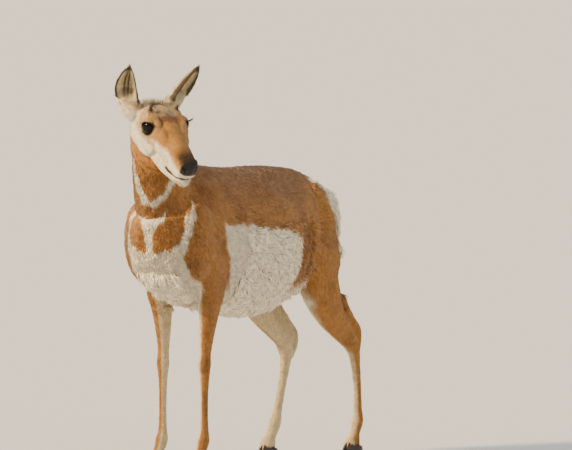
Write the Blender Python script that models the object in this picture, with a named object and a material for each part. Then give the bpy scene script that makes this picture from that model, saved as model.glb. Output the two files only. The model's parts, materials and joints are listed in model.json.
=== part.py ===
# A pronghorn doe standing still, life size, with her head turned to her left and her eyes on the viewer.
# Metres, +Z up. She faces -Y, her left side is +X, and her hooves stand on Z = 0.
import math
import random

import bmesh
import bpy
import numpy as np
from mathutils import Matrix, Vector
from mathutils.bvhtree import BVHTree

SEAM = 0.0003  # the gap between two pieces that meet face to face

# The trunk along its length: Y, height of the widest line, half width, reach up and reach down.
TRUNK = (
    (-0.412, 0.665, 0.035, 0.050, 0.050),
    (-0.385, 0.665, 0.080, 0.110, 0.095),
    (-0.330, 0.660, 0.112, 0.165, 0.145),
    (-0.270, 0.665, 0.126, 0.195, 0.180),
    (-0.200, 0.665, 0.132, 0.210, 0.190),
    (-0.120, 0.655, 0.142, 0.215, 0.188),
    (-0.030, 0.640, 0.160, 0.224, 0.197),
    (0.050, 0.635, 0.172, 0.225, 0.205),
    (0.120, 0.645, 0.174, 0.211, 0.210),
    (0.190, 0.670, 0.163, 0.183, 0.200),
    (0.260, 0.695, 0.143, 0.153, 0.165),
    (0.330, 0.710, 0.125, 0.128, 0.140),
    (0.405, 0.712, 0.106, 0.104, 0.130),
    (0.455, 0.706, 0.082, 0.082, 0.108),
    (0.488, 0.700, 0.045, 0.050, 0.064),
)

# The neck from the chest up into the head: X, Y, Z, half width, reach forward and reach back.
NECK = (
    (0.000, -0.240, 0.650, 0.098, 0.130, 0.100),
    (0.000, -0.285, 0.730, 0.089, 0.118, 0.118),
    (0.000, -0.330, 0.800, 0.077, 0.096, 0.106),
    (0.000, -0.357, 0.860, 0.068, 0.081, 0.092),
    (0.000, -0.372, 0.920, 0.062, 0.073, 0.080),
    (0.000, -0.385, 0.970, 0.060, 0.070, 0.072),
    (0.002, -0.395, 1.010, 0.051, 0.059, 0.057),
    (0.012, -0.400, 1.040, 0.041, 0.045, 0.043),
)

# One foreleg from the shoulder to the coronet, and each hind leg from the hip to the coronet,
# as distance from the midline, Y, Z, half width, reach forward and reach back.
FORELEG = (
    (0.088, -0.240, 0.680, 0.042, 0.090, 0.090),
    (0.091, -0.232, 0.600, 0.038, 0.073, 0.078),
    (0.088, -0.216, 0.530, 0.033, 0.050, 0.060),
    (0.080, -0.212, 0.465, 0.0265, 0.034, 0.040),
    (0.074, -0.213, 0.405, 0.0205, 0.025, 0.0275),
    (0.071, -0.216, 0.350, 0.0160, 0.0185, 0.0190),
    (0.070, -0.219, 0.315, 0.0180, 0.0200, 0.0180),
    (0.070, -0.220, 0.285, 0.0150, 0.0160, 0.0165),
    (0.070, -0.221, 0.240, 0.0112, 0.0122, 0.0140),
    (0.070, -0.222, 0.170, 0.0105, 0.0115, 0.0138),
    (0.070, -0.223, 0.125, 0.0120, 0.0130, 0.0165),
    (0.070, -0.227, 0.098, 0.0165, 0.0175, 0.0205),
    (0.070, -0.241, 0.066, 0.0150, 0.0165, 0.0175),
    (0.070, -0.252, 0.040, 0.0230, 0.0245, 0.0215),
    (0.070, -0.258, 0.015, 0.0230, 0.0245, 0.0215),
)
HIND_LEFT = (
    (0.075, 0.345, 0.720, 0.052, 0.120, 0.105),
    (0.088, 0.335, 0.620, 0.054, 0.112, 0.118),
    (0.098, 0.330, 0.555, 0.048, 0.088, 0.112),
    (0.102, 0.350, 0.495, 0.040, 0.074, 0.092),
    (0.099, 0.400, 0.435, 0.031, 0.056, 0.062),
    (0.094, 0.455, 0.390, 0.024, 0.040, 0.044),
    (0.090, 0.510, 0.352, 0.0205, 0.031, 0.034),
    (0.091, 0.547, 0.315, 0.0175, 0.024, 0.027),
    (0.092, 0.560, 0.265, 0.0125, 0.0165, 0.0190),
    (0.093, 0.568, 0.200, 0.0108, 0.0132, 0.0158),
    (0.093, 0.571, 0.140, 0.0112, 0.0138, 0.0170),
    (0.093, 0.570, 0.105, 0.0160, 0.0178, 0.0205),
    (0.093, 0.556, 0.070, 0.0145, 0.0165, 0.0178),
    (0.093, 0.542, 0.040, 0.0220, 0.0235, 0.0210),
    (0.093, 0.536, 0.015, 0.0220, 0.0235, 0.0210),
)
HIND_RIGHT = (
    (0.075, 0.335, 0.720, 0.052, 0.120, 0.110),
    (0.088, 0.315, 0.620, 0.054, 0.105, 0.118),
    (0.098, 0.290, 0.560, 0.048, 0.080, 0.108),
    (0.098, 0.290, 0.500, 0.040, 0.066, 0.082),
    (0.088, 0.325, 0.435, 0.031, 0.052, 0.058),
    (0.075, 0.368, 0.385, 0.024, 0.038, 0.042),
    (0.066, 0.408, 0.345, 0.0200, 0.030, 0.034),
    (0.065, 0.428, 0.305, 0.0175, 0.024, 0.027),
    (0.065, 0.423, 0.260, 0.0125, 0.0165, 0.0190),
    (0.065, 0.404, 0.200, 0.0108, 0.0132, 0.0158),
    (0.065, 0.384, 0.140, 0.0112, 0.0138, 0.0170),
    (0.065, 0.371, 0.105, 0.0160, 0.0178, 0.0205),
    (0.065, 0.348, 0.070, 0.0145, 0.0165, 0.0178),
    (0.065, 0.331, 0.040, 0.0220, 0.0235, 0.0210),
    (0.065, 0.325, 0.015, 0.0220, 0.0235, 0.0210),
)
# The heel tendon of each hind leg, from the thigh to the point of the hock.
TENDON_LEFT = (
    (0.099, 0.455, 0.470, 0.016, 0.020, 0.020),
    (0.093, 0.525, 0.412, 0.010, 0.012, 0.011),
    (0.090, 0.566, 0.375, 0.0125, 0.015, 0.013),
    (0.090, 0.570, 0.345, 0.0145, 0.018, 0.016),
    (0.090, 0.562, 0.305, 0.0140, 0.018, 0.016),
)
TENDON_RIGHT = (
    (0.090, 0.375, 0.480, 0.016, 0.020, 0.020),
    (0.073, 0.436, 0.405, 0.010, 0.012, 0.011),
    (0.066, 0.470, 0.362, 0.0125, 0.015, 0.013),
    (0.065, 0.468, 0.330, 0.0145, 0.018, 0.016),
    (0.065, 0.445, 0.295, 0.0140, 0.018, 0.016),
)
# The thin web of skin between each shank and its heel tendon.
WEB_LEFT = (
    (0.094, 0.470, 0.445, 0.009, 0.030, 0.030),
    (0.090, 0.530, 0.380, 0.009, 0.032, 0.034),
    (0.090, 0.556, 0.335, 0.010, 0.026, 0.020),
)
WEB_RIGHT = (
    (0.076, 0.380, 0.440, 0.009, 0.030, 0.030),
    (0.066, 0.436, 0.372, 0.009, 0.034, 0.034),
    (0.065, 0.450, 0.320, 0.010, 0.026, 0.020),
)
# The tail hangs down over the rump: Y, Z, half width and half thickness.
TAIL = (
    (0.445, 0.792, 0.022, 0.018),
    (0.495, 0.772, 0.026, 0.017),
    (0.519, 0.728, 0.029, 0.014),
    (0.525, 0.690, 0.022, 0.010),
    (0.526, 0.668, 0.010, 0.006),
)

# The head's own frame: its crown, the way it is turned and how far the nose drops.
CROWN = Vector((0.036, -0.4155, 1.0765))
HEAD_TURN = math.radians(63.2)
HEAD_DROP = math.radians(40.5)
HEAD_TILT = math.radians(-2.5)
# Sections of the skull and muzzle from the crown to the nose: distance along the head,
# height of the forehead line, of the widest line and of the underside, and half width.
SKULL = (
    (-0.034, -0.060, -0.068, -0.085, 0.028),
    (-0.015, -0.036, -0.057, -0.100, 0.044),
    (0.012, -0.018, -0.050, -0.112, 0.052),
    (0.045, -0.006, -0.047, -0.122, 0.056),
    (0.080, -0.001, -0.047, -0.120, 0.056),
    (0.115, -0.002, -0.049, -0.108, 0.0495),
    (0.150, -0.004, -0.048, -0.098, 0.0430),
    (0.187, -0.006, -0.046, -0.091, 0.0365),
    (0.220, -0.007, -0.043, -0.085, 0.0325),
    (0.245, -0.009, -0.042, -0.077, 0.0310),
    (0.262, -0.013, -0.041, -0.070, 0.0285),
    (0.276, -0.024, -0.043, -0.061, 0.0190),
)
JAW = (
    (0.026, -0.072, -0.102, -0.138, 0.038),
    (0.070, -0.074, -0.104, -0.143, 0.045),
    (0.115, -0.072, -0.102, -0.141, 0.041),
    (0.160, -0.072, -0.099, -0.136, 0.034),
    (0.200, -0.074, -0.095, -0.126, 0.0285),
    (0.231, -0.073, -0.089, -0.114, 0.0265),
    (0.252, -0.070, -0.083, -0.104, 0.0240),
    (0.268, -0.068, -0.078, -0.091, 0.0145),
)
# The line between the lips, from the corner of the mouth to its front: along the head and height.
MOUTH = ((0.192, -0.0900), (0.208, -0.0900), (0.225, -0.0850), (0.245, -0.0770), (0.262, -0.0700), (0.290, -0.0640))
MOUTH_SLOT = 0.0009
MOUTH_DEPTH = 0.0050
EYE_RADIUS = 0.0240
EYE_PLACE = (0.0880, 0.0485, -0.032)  # along the head, to the side and above the forehead line
EYE_GAZE = (0.52, 0.82, 0.10)
LID = 0.0030
LID_LENGTH = 0.0460
LID_HEIGHT = 0.0330
EAR_ROOT = (0.000, 0.0645, -0.042)
EAR_LEAN_LEFT = (-0.17, 0.40, 0.91)
EAR_LEAN_RIGHT = (-0.27, 0.24, 0.93)
EAR_FACING_LEFT = (0.90, 0.40, 0.04)
EAR_FACING_RIGHT = (0.85, 0.48, 0.00)
EAR_LENGTH = 0.136
EAR_HALF_WIDTH = 0.0312
EAR_CUP = 0.030
EAR_BOW = 0.015
EAR_WALL = 0.0034
EAR_SEAT = 0.012  # how far up the ear leaves its fleshy root
NUB_PLACE = (0.053, 0.040, -0.003)
NUB_LEAN = (-0.25, 0.30, 0.90)
NUB_RADIUS = 0.0062
NUB_HEIGHT = 0.012

# The cloven hooves: heel to toe on the ground, at the coronet, and the width of one claw.
CLAW_GAP = 0.0040
CLAW_WIDTH = 0.0250
CORONET_FRONT = 0.042
CORONET_HEEL = 0.028
FORE_SOLE = (-0.231, -0.312)
FORE_CORONET = (-0.229, -0.278)
HIND_SCALE = 0.94

# Long coat stands over a core: how deep the core lies under the tips, and the size of one lock there
# as length, half width, thickness and how blunt its tip is.
COAT_DEPTH = 0.018
CORE_SINK = 0.0105
ROOT_SINK = 0.006
LOCK_STEPS = 3
FLANK_LOCK = (0.108, 0.037, 0.0090, 0.25)
RUMP_LOCK = (0.068, 0.024, 0.0075, 0.10)
NAPE_LOCK = (0.084, 0.012, 0.0070, 0.10)
CHEST_LOCK = (0.062, 0.028, 0.0090, 0.50)

TAN = "B5763A"
CREAM = "E9D9B4"
DARK = "2B211B"


def linear(hex_colour):
    """An sRGB hex colour as linear red, green, blue and alpha."""
    parts = [int(hex_colour[i:i + 2], 16) / 255.0 for i in (0, 2, 4)]
    return [c / 12.92 if c < 0.04045 else ((c + 0.055) / 1.055) ** 2.4 for c in parts] + [1.0]


def finish(name, hex_colour, roughness):
    """A Principled material with one colour."""
    made = bpy.data.materials.new(name)
    made.use_nodes = True
    shader = made.node_tree.nodes["Principled BSDF"]
    shader.inputs["Base Color"].default_value = linear(hex_colour)
    shader.inputs["Roughness"].default_value = roughness
    return made


def smoothed(rows, steps=4):
    """Rows read off a smooth curve through the given rows, with `steps` to each span."""
    rows = np.array(rows, dtype=float)
    padded = np.vstack([2 * rows[0] - rows[1], rows, 2 * rows[-1] - rows[-2]])
    out = []
    for i in range(1, len(padded) - 2):
        before, start, end, after = padded[i - 1:i + 3]
        for step in range(steps):
            u = step / steps
            out.append(0.5 * (2 * start + (end - before) * u
                              + (2 * before - 5 * start + 4 * end - after) * u ** 2
                              + (3 * start - before - 3 * end + after) * u ** 3))
    out.append(rows[-1])
    return out


def skin_rings(rings):
    """A closed mesh over rings of points, with a flat cap at each end."""
    shape = bmesh.new()
    made = [[shape.verts.new(p) for p in ring] for ring in rings]
    for low, high in zip(made, made[1:]):
        for i in range(len(low)):
            j = (i + 1) % len(low)
            shape.faces.new((low[i], low[j], high[j], high[i]))
    shape.faces.new(list(reversed(made[0])))
    shape.faces.new(made[-1])
    bmesh.ops.recalc_face_normals(shape, faces=shape.faces)
    return shape


def limb(rows, side=1.0, fore=(0.0, -1.0, 0.0), count=20):
    """A loft along a path of rows: place, half width, reach towards `fore` and reach away from it."""
    rows = smoothed([(side * r[0], *r[1:]) for r in rows])
    places = [Vector(r[:3]) for r in rows]
    rings = []
    for i, row in enumerate(rows):
        along = (places[min(i + 1, len(rows) - 1)] - places[max(i - 1, 0)]).normalized()
        front = Vector(fore)
        front = (front - along * front.dot(along)).normalized()
        across = along.cross(front)
        ring = []
        for k in range(count):
            angle = 2 * math.pi * k / count
            reach = row[4] if math.cos(angle) > 0 else row[5]
            ring.append(places[i] + across * (row[3] * math.sin(angle)) + front * (reach * math.cos(angle)))
        rings.append(ring)
    return skin_rings(rings)


def mass(place, radii, turn=None):
    """A rounded muscle or bone mass."""
    shape = bmesh.new()
    bmesh.ops.create_icosphere(shape, subdivisions=3, radius=1.0)
    turn = turn.to_4x4() if turn else Matrix.Identity(4)
    bmesh.ops.transform(shape, verts=shape.verts, matrix=Matrix.Translation(place) @ turn
                        @ Matrix.Diagonal((*radii, 1.0)))
    return shape


def head_frame():
    """The axes of the head: along the nose, to its left and up from the forehead, as a matrix."""
    along = Vector((math.sin(HEAD_TURN) * math.cos(HEAD_DROP), -math.cos(HEAD_TURN) * math.cos(HEAD_DROP),
                    -math.sin(HEAD_DROP)))
    left = Matrix.Rotation(-HEAD_TILT, 3, along) @ Vector((math.cos(HEAD_TURN), math.sin(HEAD_TURN), 0.0))
    return Matrix((along, left, along.cross(left))).transposed()


HEAD_AXES = head_frame()


def on_head(along, left, up):
    return CROWN + HEAD_AXES @ Vector((along, left, up))


def head_loft(rows, count=24):
    """A loft along the head through sections with a forehead line, a widest line and an underside."""
    rings = []
    for along, top, middle, bottom, half in smoothed(rows):
        ring = []
        for k in range(count):
            angle = 2 * math.pi * k / count
            rise = math.sin(angle)
            reach = top - middle if rise > 0 else middle - bottom
            ring.append(on_head(along, half * math.cos(angle), middle + reach * rise))
        rings.append(ring)
    return skin_rings(rings)


def as_object(name, shape):
    """A mesh object made from a bmesh, which is freed."""
    mesh = bpy.data.meshes.new(name)
    shape.to_mesh(mesh)
    shape.free()
    made = bpy.data.objects.new(name, mesh)
    bpy.context.collection.objects.link(made)
    return made


def applied(made):
    """The object's mesh with its modifiers applied, as a bmesh; the object is removed."""
    bpy.context.view_layer.update()
    evaluated = made.evaluated_get(bpy.context.evaluated_depsgraph_get())
    shape = bmesh.new()
    shape.from_mesh(evaluated.to_mesh())
    evaluated.to_mesh_clear()
    bpy.data.objects.remove(made)
    return shape


def merged(pieces, voxel, rounds, triangles, sunk=None):
    """One closed skin over overlapping pieces, smoothed, sunk where long coat grows, and thinned."""
    whole = bmesh.new()
    for piece in pieces:
        mesh = bpy.data.meshes.new("piece")
        piece.to_mesh(mesh)
        piece.free()
        whole.from_mesh(mesh)
        bpy.data.meshes.remove(mesh)
    made = as_object("whole", whole)
    remesh = made.modifiers.new("remesh", "REMESH")
    remesh.mode = "VOXEL"
    remesh.voxel_size = voxel
    smooth = made.modifiers.new("smooth", "SMOOTH")
    smooth.factor = 0.5
    smooth.iterations = rounds
    skin = applied(made)
    if sunk:
        for vert in skin.verts:
            vert.co -= vert.normal * sunk(vert.co)
    fine = sum(len(face.verts) - 2 for face in skin.faces)
    made = as_object("whole", skin)
    thin = made.modifiers.new("thin", "DECIMATE")
    thin.ratio = triangles / fine
    return applied(made)


def halves(shape, place, normal):
    """The two sides of a shape parted by a plane with a seam's gap: ahead of the normal, then behind it."""
    normal = Vector(normal).normalized()
    place = Vector(place)
    made = []
    for sign in (1.0, -1.0):
        side = shape.copy()
        co = place + normal * (sign * SEAM / 2)
        bmesh.ops.bisect_plane(side, geom=side.verts[:] + side.edges[:] + side.faces[:], dist=1e-6,
                               plane_co=co, plane_no=normal * -sign, clear_outer=True)
        rim = [edge for edge in side.edges if edge.is_boundary]
        bmesh.ops.triangle_fill(side, edges=rim, use_beauty=True, normal=normal * -sign)
        bmesh.ops.recalc_face_normals(side, faces=side.faces)
        made.append(side)
    shape.free()
    return made


def islands(shape):
    """The separate closed bodies of a shape, largest first, each as a bmesh."""
    shape.verts.index_update()
    left = set(shape.verts)
    groups = []
    while left:
        stack = [left.pop()]
        group = set(stack)
        while stack:
            for edge in stack.pop().link_edges:
                for vert in edge.verts:
                    if vert in left:
                        left.discard(vert)
                        group.add(vert)
                        stack.append(vert)
        groups.append(group)
    made = []
    for group in groups:
        piece = shape.copy()
        piece.verts.index_update()
        kept = {vert.index for vert in group}
        bmesh.ops.delete(piece, geom=[v for v in piece.verts if v.index not in kept], context="VERTS")
        made.append(piece)
    shape.free()
    return sorted(made, key=lambda piece: -piece.calc_volume())


def largest(shape):
    return islands(shape)[0]


def boolean(base, cutters, operation="DIFFERENCE"):
    """A shape less a list of cutters, or joined with them, as a bmesh."""
    made = as_object("base", base)
    tools = bpy.data.collections.new("tools")
    bpy.context.scene.collection.children.link(tools)
    for cutter in cutters:
        tool = as_object("tool", cutter)
        tool.hide_render = True
        tool.display_type = "WIRE"
        bpy.context.collection.objects.unlink(tool)
        tools.objects.link(tool)
    change = made.modifiers.new("change", "BOOLEAN")
    change.operation = operation
    change.operand_type = "COLLECTION"
    change.collection = tools
    change.solver = "MANIFOLD"
    shape = applied(made)
    for tool in list(tools.objects):
        bpy.data.objects.remove(tool)
    bpy.data.collections.remove(tools)
    return largest(shape)


def box_on(place, axis, width, depth):
    """A box standing on `place` along `axis`, used to cut a flat seat."""
    shape = bmesh.new()
    bmesh.ops.create_cube(shape, size=1.0)
    turn = Vector(axis).to_track_quat("Z", "Y").to_matrix().to_4x4()
    bmesh.ops.transform(shape, verts=shape.verts, matrix=Matrix.Translation(place) @ turn
                        @ Matrix.Translation((0, 0, depth / 2)) @ Matrix.Diagonal((width, width, depth, 1.0)))
    return shape


def sided(place, side):
    """A point in the head's frame, mirrored for the right side."""
    return place[0], place[1] * side, place[2]


def head_direction(way, side):
    return (HEAD_AXES @ Vector(sided(way, side))).normalized()


def ear_frame(side):
    """The ear's root, its length axis, the way its cup faces and the axis across it."""
    axis = head_direction(EAR_LEAN_LEFT if side == 1 else EAR_LEAN_RIGHT, side)
    facing = head_direction(EAR_FACING_LEFT if side == 1 else EAR_FACING_RIGHT, side)
    facing = (facing - axis * facing.dot(axis)).normalized()
    return on_head(*sided(EAR_ROOT, side)), axis, facing, axis.cross(facing) * side


def ear_half_width(s):
    return EAR_HALF_WIDTH * (1 - ((s - 0.36) / 0.66) ** 2 * (1.0 if s > 0.36 else 0.75))


def ear_depth(s):
    return EAR_CUP * (1 - ((s - 0.25) / 0.80) ** 2)


def ear_bow(s):
    return EAR_BOW * math.sin(math.pi * s ** 0.85)


def ear(side, start):
    """A cupped ear with a thin wall, from `start` along its length to a pointed tip."""
    root, axis, facing, outward = ear_frame(side)
    rings = []
    steps = 9
    arc = 10
    for i in range(steps + 1):
        along = start + (EAR_LENGTH - start) * i / steps
        s = along / EAR_LENGTH
        half = ear_half_width(s)
        deep = ear_depth(s)
        wall = min(EAR_WALL, half * 0.45)
        opened = min(1.0, (s / 0.38) ** 1.5)
        inner_deep = (deep - wall) * opened - 0.35 * deep * (1 - opened)
        place = root + axis * along + outward * ear_bow(s)
        ring = []
        for k in range(arc + 1):
            angle = math.pi * (k / arc - 0.5)
            ring.append(place + outward * (half * math.sin(angle)) - facing * (deep * math.cos(angle)))
        for k in range(arc - 1, 0, -1):
            angle = math.pi * (k / arc - 0.5)
            ring.append(place + outward * ((half - wall * 0.7) * math.sin(angle))
                        - facing * (inner_deep * math.cos(angle)))
        rings.append(ring)
    return skin_rings(rings)


def ear_stub(side):
    """The fleshy root under an ear, as wide as the ear where it leaves the head."""
    root, axis, facing, outward = ear_frame(side)
    s = EAR_SEAT / EAR_LENGTH
    rings = []
    for along, inward, swell in ((-0.060, 0.042, 0.95), (-0.035, 0.022, 1.15), (-0.015, 0.008, 1.16),
                                 (0.002, 0.001, 1.08), (EAR_SEAT + 0.012, 0.0, 1.0)):
        half = ear_half_width(s) * swell
        deep = ear_depth(s) * swell
        ring = []
        for k in range(20):
            angle = 2 * math.pi * k / 20
            reach = deep if math.cos(angle) > 0 else deep * 0.4
            ring.append(root + axis * along + outward * (ear_bow(s) - inward + half * math.sin(angle))
                        - facing * (reach * math.cos(angle)))
        rings.append(ring)
    return skin_rings(rings)


def nub_frame(side):
    return on_head(*sided(NUB_PLACE, side)), head_direction(NUB_LEAN, side)


def cone_on(place, axis, radius, tip_radius, height, count=12):
    shape = bmesh.new()
    turn = Vector(axis).to_track_quat("Z", "Y").to_matrix().to_4x4()
    bmesh.ops.create_cone(shape, cap_ends=True, segments=count, radius1=radius, radius2=tip_radius,
                          depth=height, matrix=Matrix.Translation(place) @ turn
                          @ Matrix.Translation((0, 0, height / 2)))
    return shape


def eye_place(side):
    return on_head(*sided(EYE_PLACE, side))


def eyeball(side, radius):
    shape = bmesh.new()
    bmesh.ops.create_uvsphere(shape, u_segments=16, v_segments=10, radius=radius,
                              matrix=Matrix.Translation(eye_place(side)))
    return shape


def lid_opening(side):
    """The almond between the lids, standing out from the middle of the eye along its gaze."""
    gaze = head_direction(EYE_GAZE, side)
    along = HEAD_AXES @ Vector((1.0, 0.0, 0.85))
    along = (along - gaze * along.dot(gaze)).normalized()
    up = along.cross(gaze)
    up = up if up.dot(HEAD_AXES.col[2]) > 0 else -up
    middle = eye_place(side)
    rings = []
    for reach in (0.45 * EYE_RADIUS, 2.2 * EYE_RADIUS):
        ring = []
        for k in range(24):
            angle = 2 * math.pi * k / 24
            height = LID_HEIGHT / 2 * (1.05 if math.sin(angle) > 0 else 0.95)
            ring.append(middle + gaze * reach + along * (LID_LENGTH / 2 * math.cos(angle))
                        + up * (height * math.sin(angle) * (1 - 0.25 * math.cos(angle) ** 2)))
        rings.append(ring)
    return skin_rings(rings)


def head_pieces():
    """The masses under the skin of the head."""
    pieces = [head_loft(SKULL), head_loft(JAW)]
    for side in (1, -1):
        turn = HEAD_AXES
        pieces += [
            mass(on_head(0.086, side * 0.038, -0.040), (0.062, 0.026, 0.040), turn),
            mass(on_head(0.128, side * 0.028, -0.040), (0.052, 0.022, 0.032), turn),
            mass(on_head(0.064, side * 0.041, -0.017), (0.034, 0.017, 0.013), turn),
            mass(on_head(0.070, side * 0.038, -0.080), (0.068, 0.025, 0.058), turn),
            mass(on_head(0.232, side * 0.0175, -0.064), (0.037, 0.0155, 0.0170), turn),
            mass(on_head(0.253, side * 0.0150, -0.029), (0.018, 0.0145, 0.0155), turn),
            mass(eye_place(side), [EYE_RADIUS + LID] * 3),
            ear_stub(side),
        ]
    pieces += [
        mass(on_head(0.256, 0.0, -0.086), (0.021, 0.018, 0.016), HEAD_AXES),
        mass(on_head(0.266, 0.0, -0.038), (0.015, 0.020, 0.022), HEAD_AXES),
        limb(NECK),
    ]
    return pieces


def mouth_cutter():
    """A thin slot round the muzzle along the line of the mouth, open outward and shallow."""
    slab = head_loft([(along, height + MOUTH_SLOT, height, height - MOUTH_SLOT, 0.06) for along, height in MOUTH])
    core = head_loft([(along, height + 0.03, height, height - 0.03, half - MOUTH_DEPTH)
                      for along, height, half in ((0.150, -0.089, 0.0400), (0.199, -0.089, 0.0330),
                                                  (0.229, -0.083, 0.0295), (0.250, -0.075, 0.0265),
                                                  (0.262, -0.070, 0.0190), (0.267, -0.067, 0.0100))])
    return boolean(slab, [core])


def nostril(side):
    """A comma-shaped slot on the side of the nose."""
    turn = HEAD_AXES @ Matrix.Rotation(math.radians(-35 * side), 3, "Z") @ Matrix.Rotation(math.radians(25), 3, "Y")
    return mass(on_head(0.271, side * 0.0185, -0.031), (0.0110, 0.0060, 0.0045), turn)


def body_pieces():
    """The masses under the skin of the neck, trunk and legs."""
    trunk = [(0.0, y, z, half, up, down) for y, z, half, up, down in TRUNK]
    tail = [(0.0, y, z, half, deep, deep) for y, z, half, deep in TAIL]
    pieces = [
        limb(trunk, fore=(0, 0, 1), count=32),
        limb(NECK),
        limb(FORELEG, 1),
        limb(FORELEG, -1),
        limb(HIND_LEFT, 1),
        limb(HIND_RIGHT, -1),
        limb(TENDON_LEFT, 1),
        limb(TENDON_RIGHT, -1),
        limb(WEB_LEFT, 1, count=12),
        limb(WEB_RIGHT, -1, count=12),
        limb(tail),
        mass((0.0, -0.20, 0.800), (0.045, 0.09, 0.078)),
        mass((0.0, 0.235, 0.530), (0.060, 0.070, 0.040)),
    ]
    for side in (1, -1):
        pieces += [
            mass((side * 0.088, -0.290, 0.665), (0.046, 0.075, 0.120)),
            mass((side * 0.078, 0.345, 0.690), (0.060, 0.110, 0.120)),
        ]
        for y in (0.222, 0.250):
            pieces.append(limb(((0, y, 0.515, 0.011, 0.011, 0.011), (0, y, 0.490, 0.0065, 0.0065, 0.0065),
                                (0, y, 0.474, 0.0045, 0.0045, 0.0045)), count=10))
            move = pieces[-1]
            bmesh.ops.translate(move, verts=move.verts, vec=(side * 0.028, 0, 0))
    return pieces


def claw(side, middle, sole, coronet):
    """One claw of a cloven hoof, flat where it stands, up to a seam under the coronet."""
    def outline(heel, toe, width, height):
        points = []
        for k in range(9):
            s = math.sin(math.pi / 2 * k / 8)
            out = width * (1 - s ** 4) * (0.80 + 0.20 * math.sin(math.pi * s)) + 0.0015
            points.append((out, s))
        for k in range(3, -1, -1):
            points.append((0.0, k / 4))
        return [Vector((middle + side * (CLAW_GAP / 2 + out), heel + (toe - heel) * s,
                        height(heel + (toe - heel) * s))) for out, s in points]

    def ground(y):
        return 0.0

    def band(y):
        slope = (CORONET_FRONT - CORONET_HEEL) / (coronet[1] - coronet[0])
        return CORONET_HEEL + (y - coronet[0]) * slope - SEAM / 2

    low = outline(*sole, CLAW_WIDTH, ground)
    high = outline(*coronet, CLAW_WIDTH * 0.88, band)
    middle_ring = [a.lerp(b, 0.5) + Vector((side * 0.0012, 0, 0)) for a, b in zip(low, high)]
    return skin_rings([low, middle_ring, high])


def ramp(value, low, high):
    """A smooth step from 0 at `low` to 1 at `high`."""
    u = min(1.0, max(0.0, (value - low) / (high - low)))
    return u * u * (3 - 2 * u)


def core_sink(place):
    """How far the core lies under the coat's tips at a place on the body."""
    x, y, z = place
    wide = abs(x)
    rump = ramp(y + 0.35 * (z - 0.72), 0.375, 0.405) * ramp(z, 0.600, 0.635) * ramp(wide, 0.020, 0.034)
    rump *= 1 - ramp(y, 0.500, 0.504)
    flank = ramp(y, -0.125, -0.090) * (1 - ramp(y, 0.215, 0.240)) * (1 - ramp(z - 0.06 * y, 0.680, 0.712))
    nape = (1 - ramp(wide, 0.026, 0.042)) * ramp(z, 0.875, 0.905) * ramp(y + 0.65 * (z - 0.90), -0.305, -0.285)
    chest = (1 - ramp(wide, 0.050, 0.066)) * (1 - ramp(z, 0.575, 0.600)) * (1 - ramp(y, -0.150, -0.125))
    return CORE_SINK * max(rump, flank, nape, chest * ramp(z, 0.468, 0.480))


def lock(tree, root, lie, size, draw):
    """A flat lock, its root sunk in the core, bent over it along the lie and tapering to its tip."""
    length, half, thick, blunt = size
    length *= draw.uniform(0.9, 1.12)
    half *= draw.uniform(0.88, 1.12)
    twist = draw.uniform(-0.16, 0.16)
    hit, normal = tree.find_nearest(root)[:2]
    way = Vector(lie)
    rings = []
    for step in range(LOCK_STEPS + 1):
        s = step / LOCK_STEPS
        way = (way - normal * way.dot(normal)).normalized()
        across = normal.cross(way)
        rise = -ROOT_SINK + (ROOT_SINK + COAT_DEPTH - 0.6 * thick) * math.sin(0.5 * math.pi * min(1.0, 1.15 * s))
        wide = half * (1 - (1 - blunt) * max(0.0, (s - 0.30) / 0.70) ** 1.6) * (0.80 + 0.20 * min(1.0, 4 * s))
        deep = thick * (1 - 0.70 * s ** 2)
        middle = hit + normal * rise
        rings.append([middle - across * wide, middle + normal * deep * 0.6,
                      middle + across * wide, middle - normal * deep * 0.4])
        way = (way + across * (twist + 0.35 * twist * step)).normalized()
        hit, normal = tree.find_nearest(hit + way * (length / LOCK_STEPS))[:2]
    shape = skin_rings(rings)
    bmesh.ops.triangulate(shape, faces=shape.faces)
    return shape


def around(tree, y, z, angle, lean=0.0):
    """The place on the body straight out from its axis at a height, at an angle round it from the side."""
    way = Vector((math.cos(angle), lean, math.sin(angle)))
    return tree.ray_cast(Vector((0.0, y, z)), way.normalized())[0]


def coat_locks(core):
    """Locks of the flank, the belly, the rump, the nape and the chest, in rows from tip to root."""
    draw = random.Random(7)
    tree = BVHTree.FromBMesh(core)
    made = []
    for row in range(4):
        y = 0.142 - 0.070 * row
        for side in (1, -1):
            for k in range(4):
                angle = math.radians(1 - 24.5 * k - 9 * (row % 2) + draw.uniform(-3, 3))
                root = around(tree, y + draw.uniform(-0.008, 0.008), 0.655, math.pi - angle if side < 0 else angle)
                made.append(lock(tree, root, (0.0, 0.80, -0.60), FLANK_LOCK, draw))
    for side in (1, -1):
        for row in range(4):
            for k in range(3):
                turn = math.radians(72 - 26 * k - 9 * (row % 2) + draw.uniform(-3, 3))
                up = math.radians(46 - 25 * row)
                way = Vector((side * math.cos(turn) * math.cos(up), math.sin(turn) * math.cos(up), math.sin(up)))
                root = tree.ray_cast(Vector((0.0, 0.375, 0.690)), way)[0]
                made.append(lock(tree, root, (side * 0.35, 0.45, -0.80), RUMP_LOCK, draw))
    for row in range(5):
        s = row / 4
        for k in (-1, 0, 1):
            root = Vector((0.016 * (k + 0.25 * (-1) ** row), -0.280 - 0.042 * s, 0.915 + 0.070 * s))
            made.append(lock(tree, root, (0.10 * k, 0.45, -0.90), NAPE_LOCK, draw))
    for row in range(4):
        for k in range(3):
            x = (k - 1) * 0.034 + (0.010 if row % 2 else -0.010)
            way = Vector((x * 0.6, -0.72 + 0.24 * row, -0.55 - 0.12 * row))
            root = tree.ray_cast(Vector((x, -0.235, 0.600)), way.normalized())[0]
            made.append(lock(tree, root, (0.0, 0.35, -0.94), CHEST_LOCK, draw))
    return made


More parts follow.
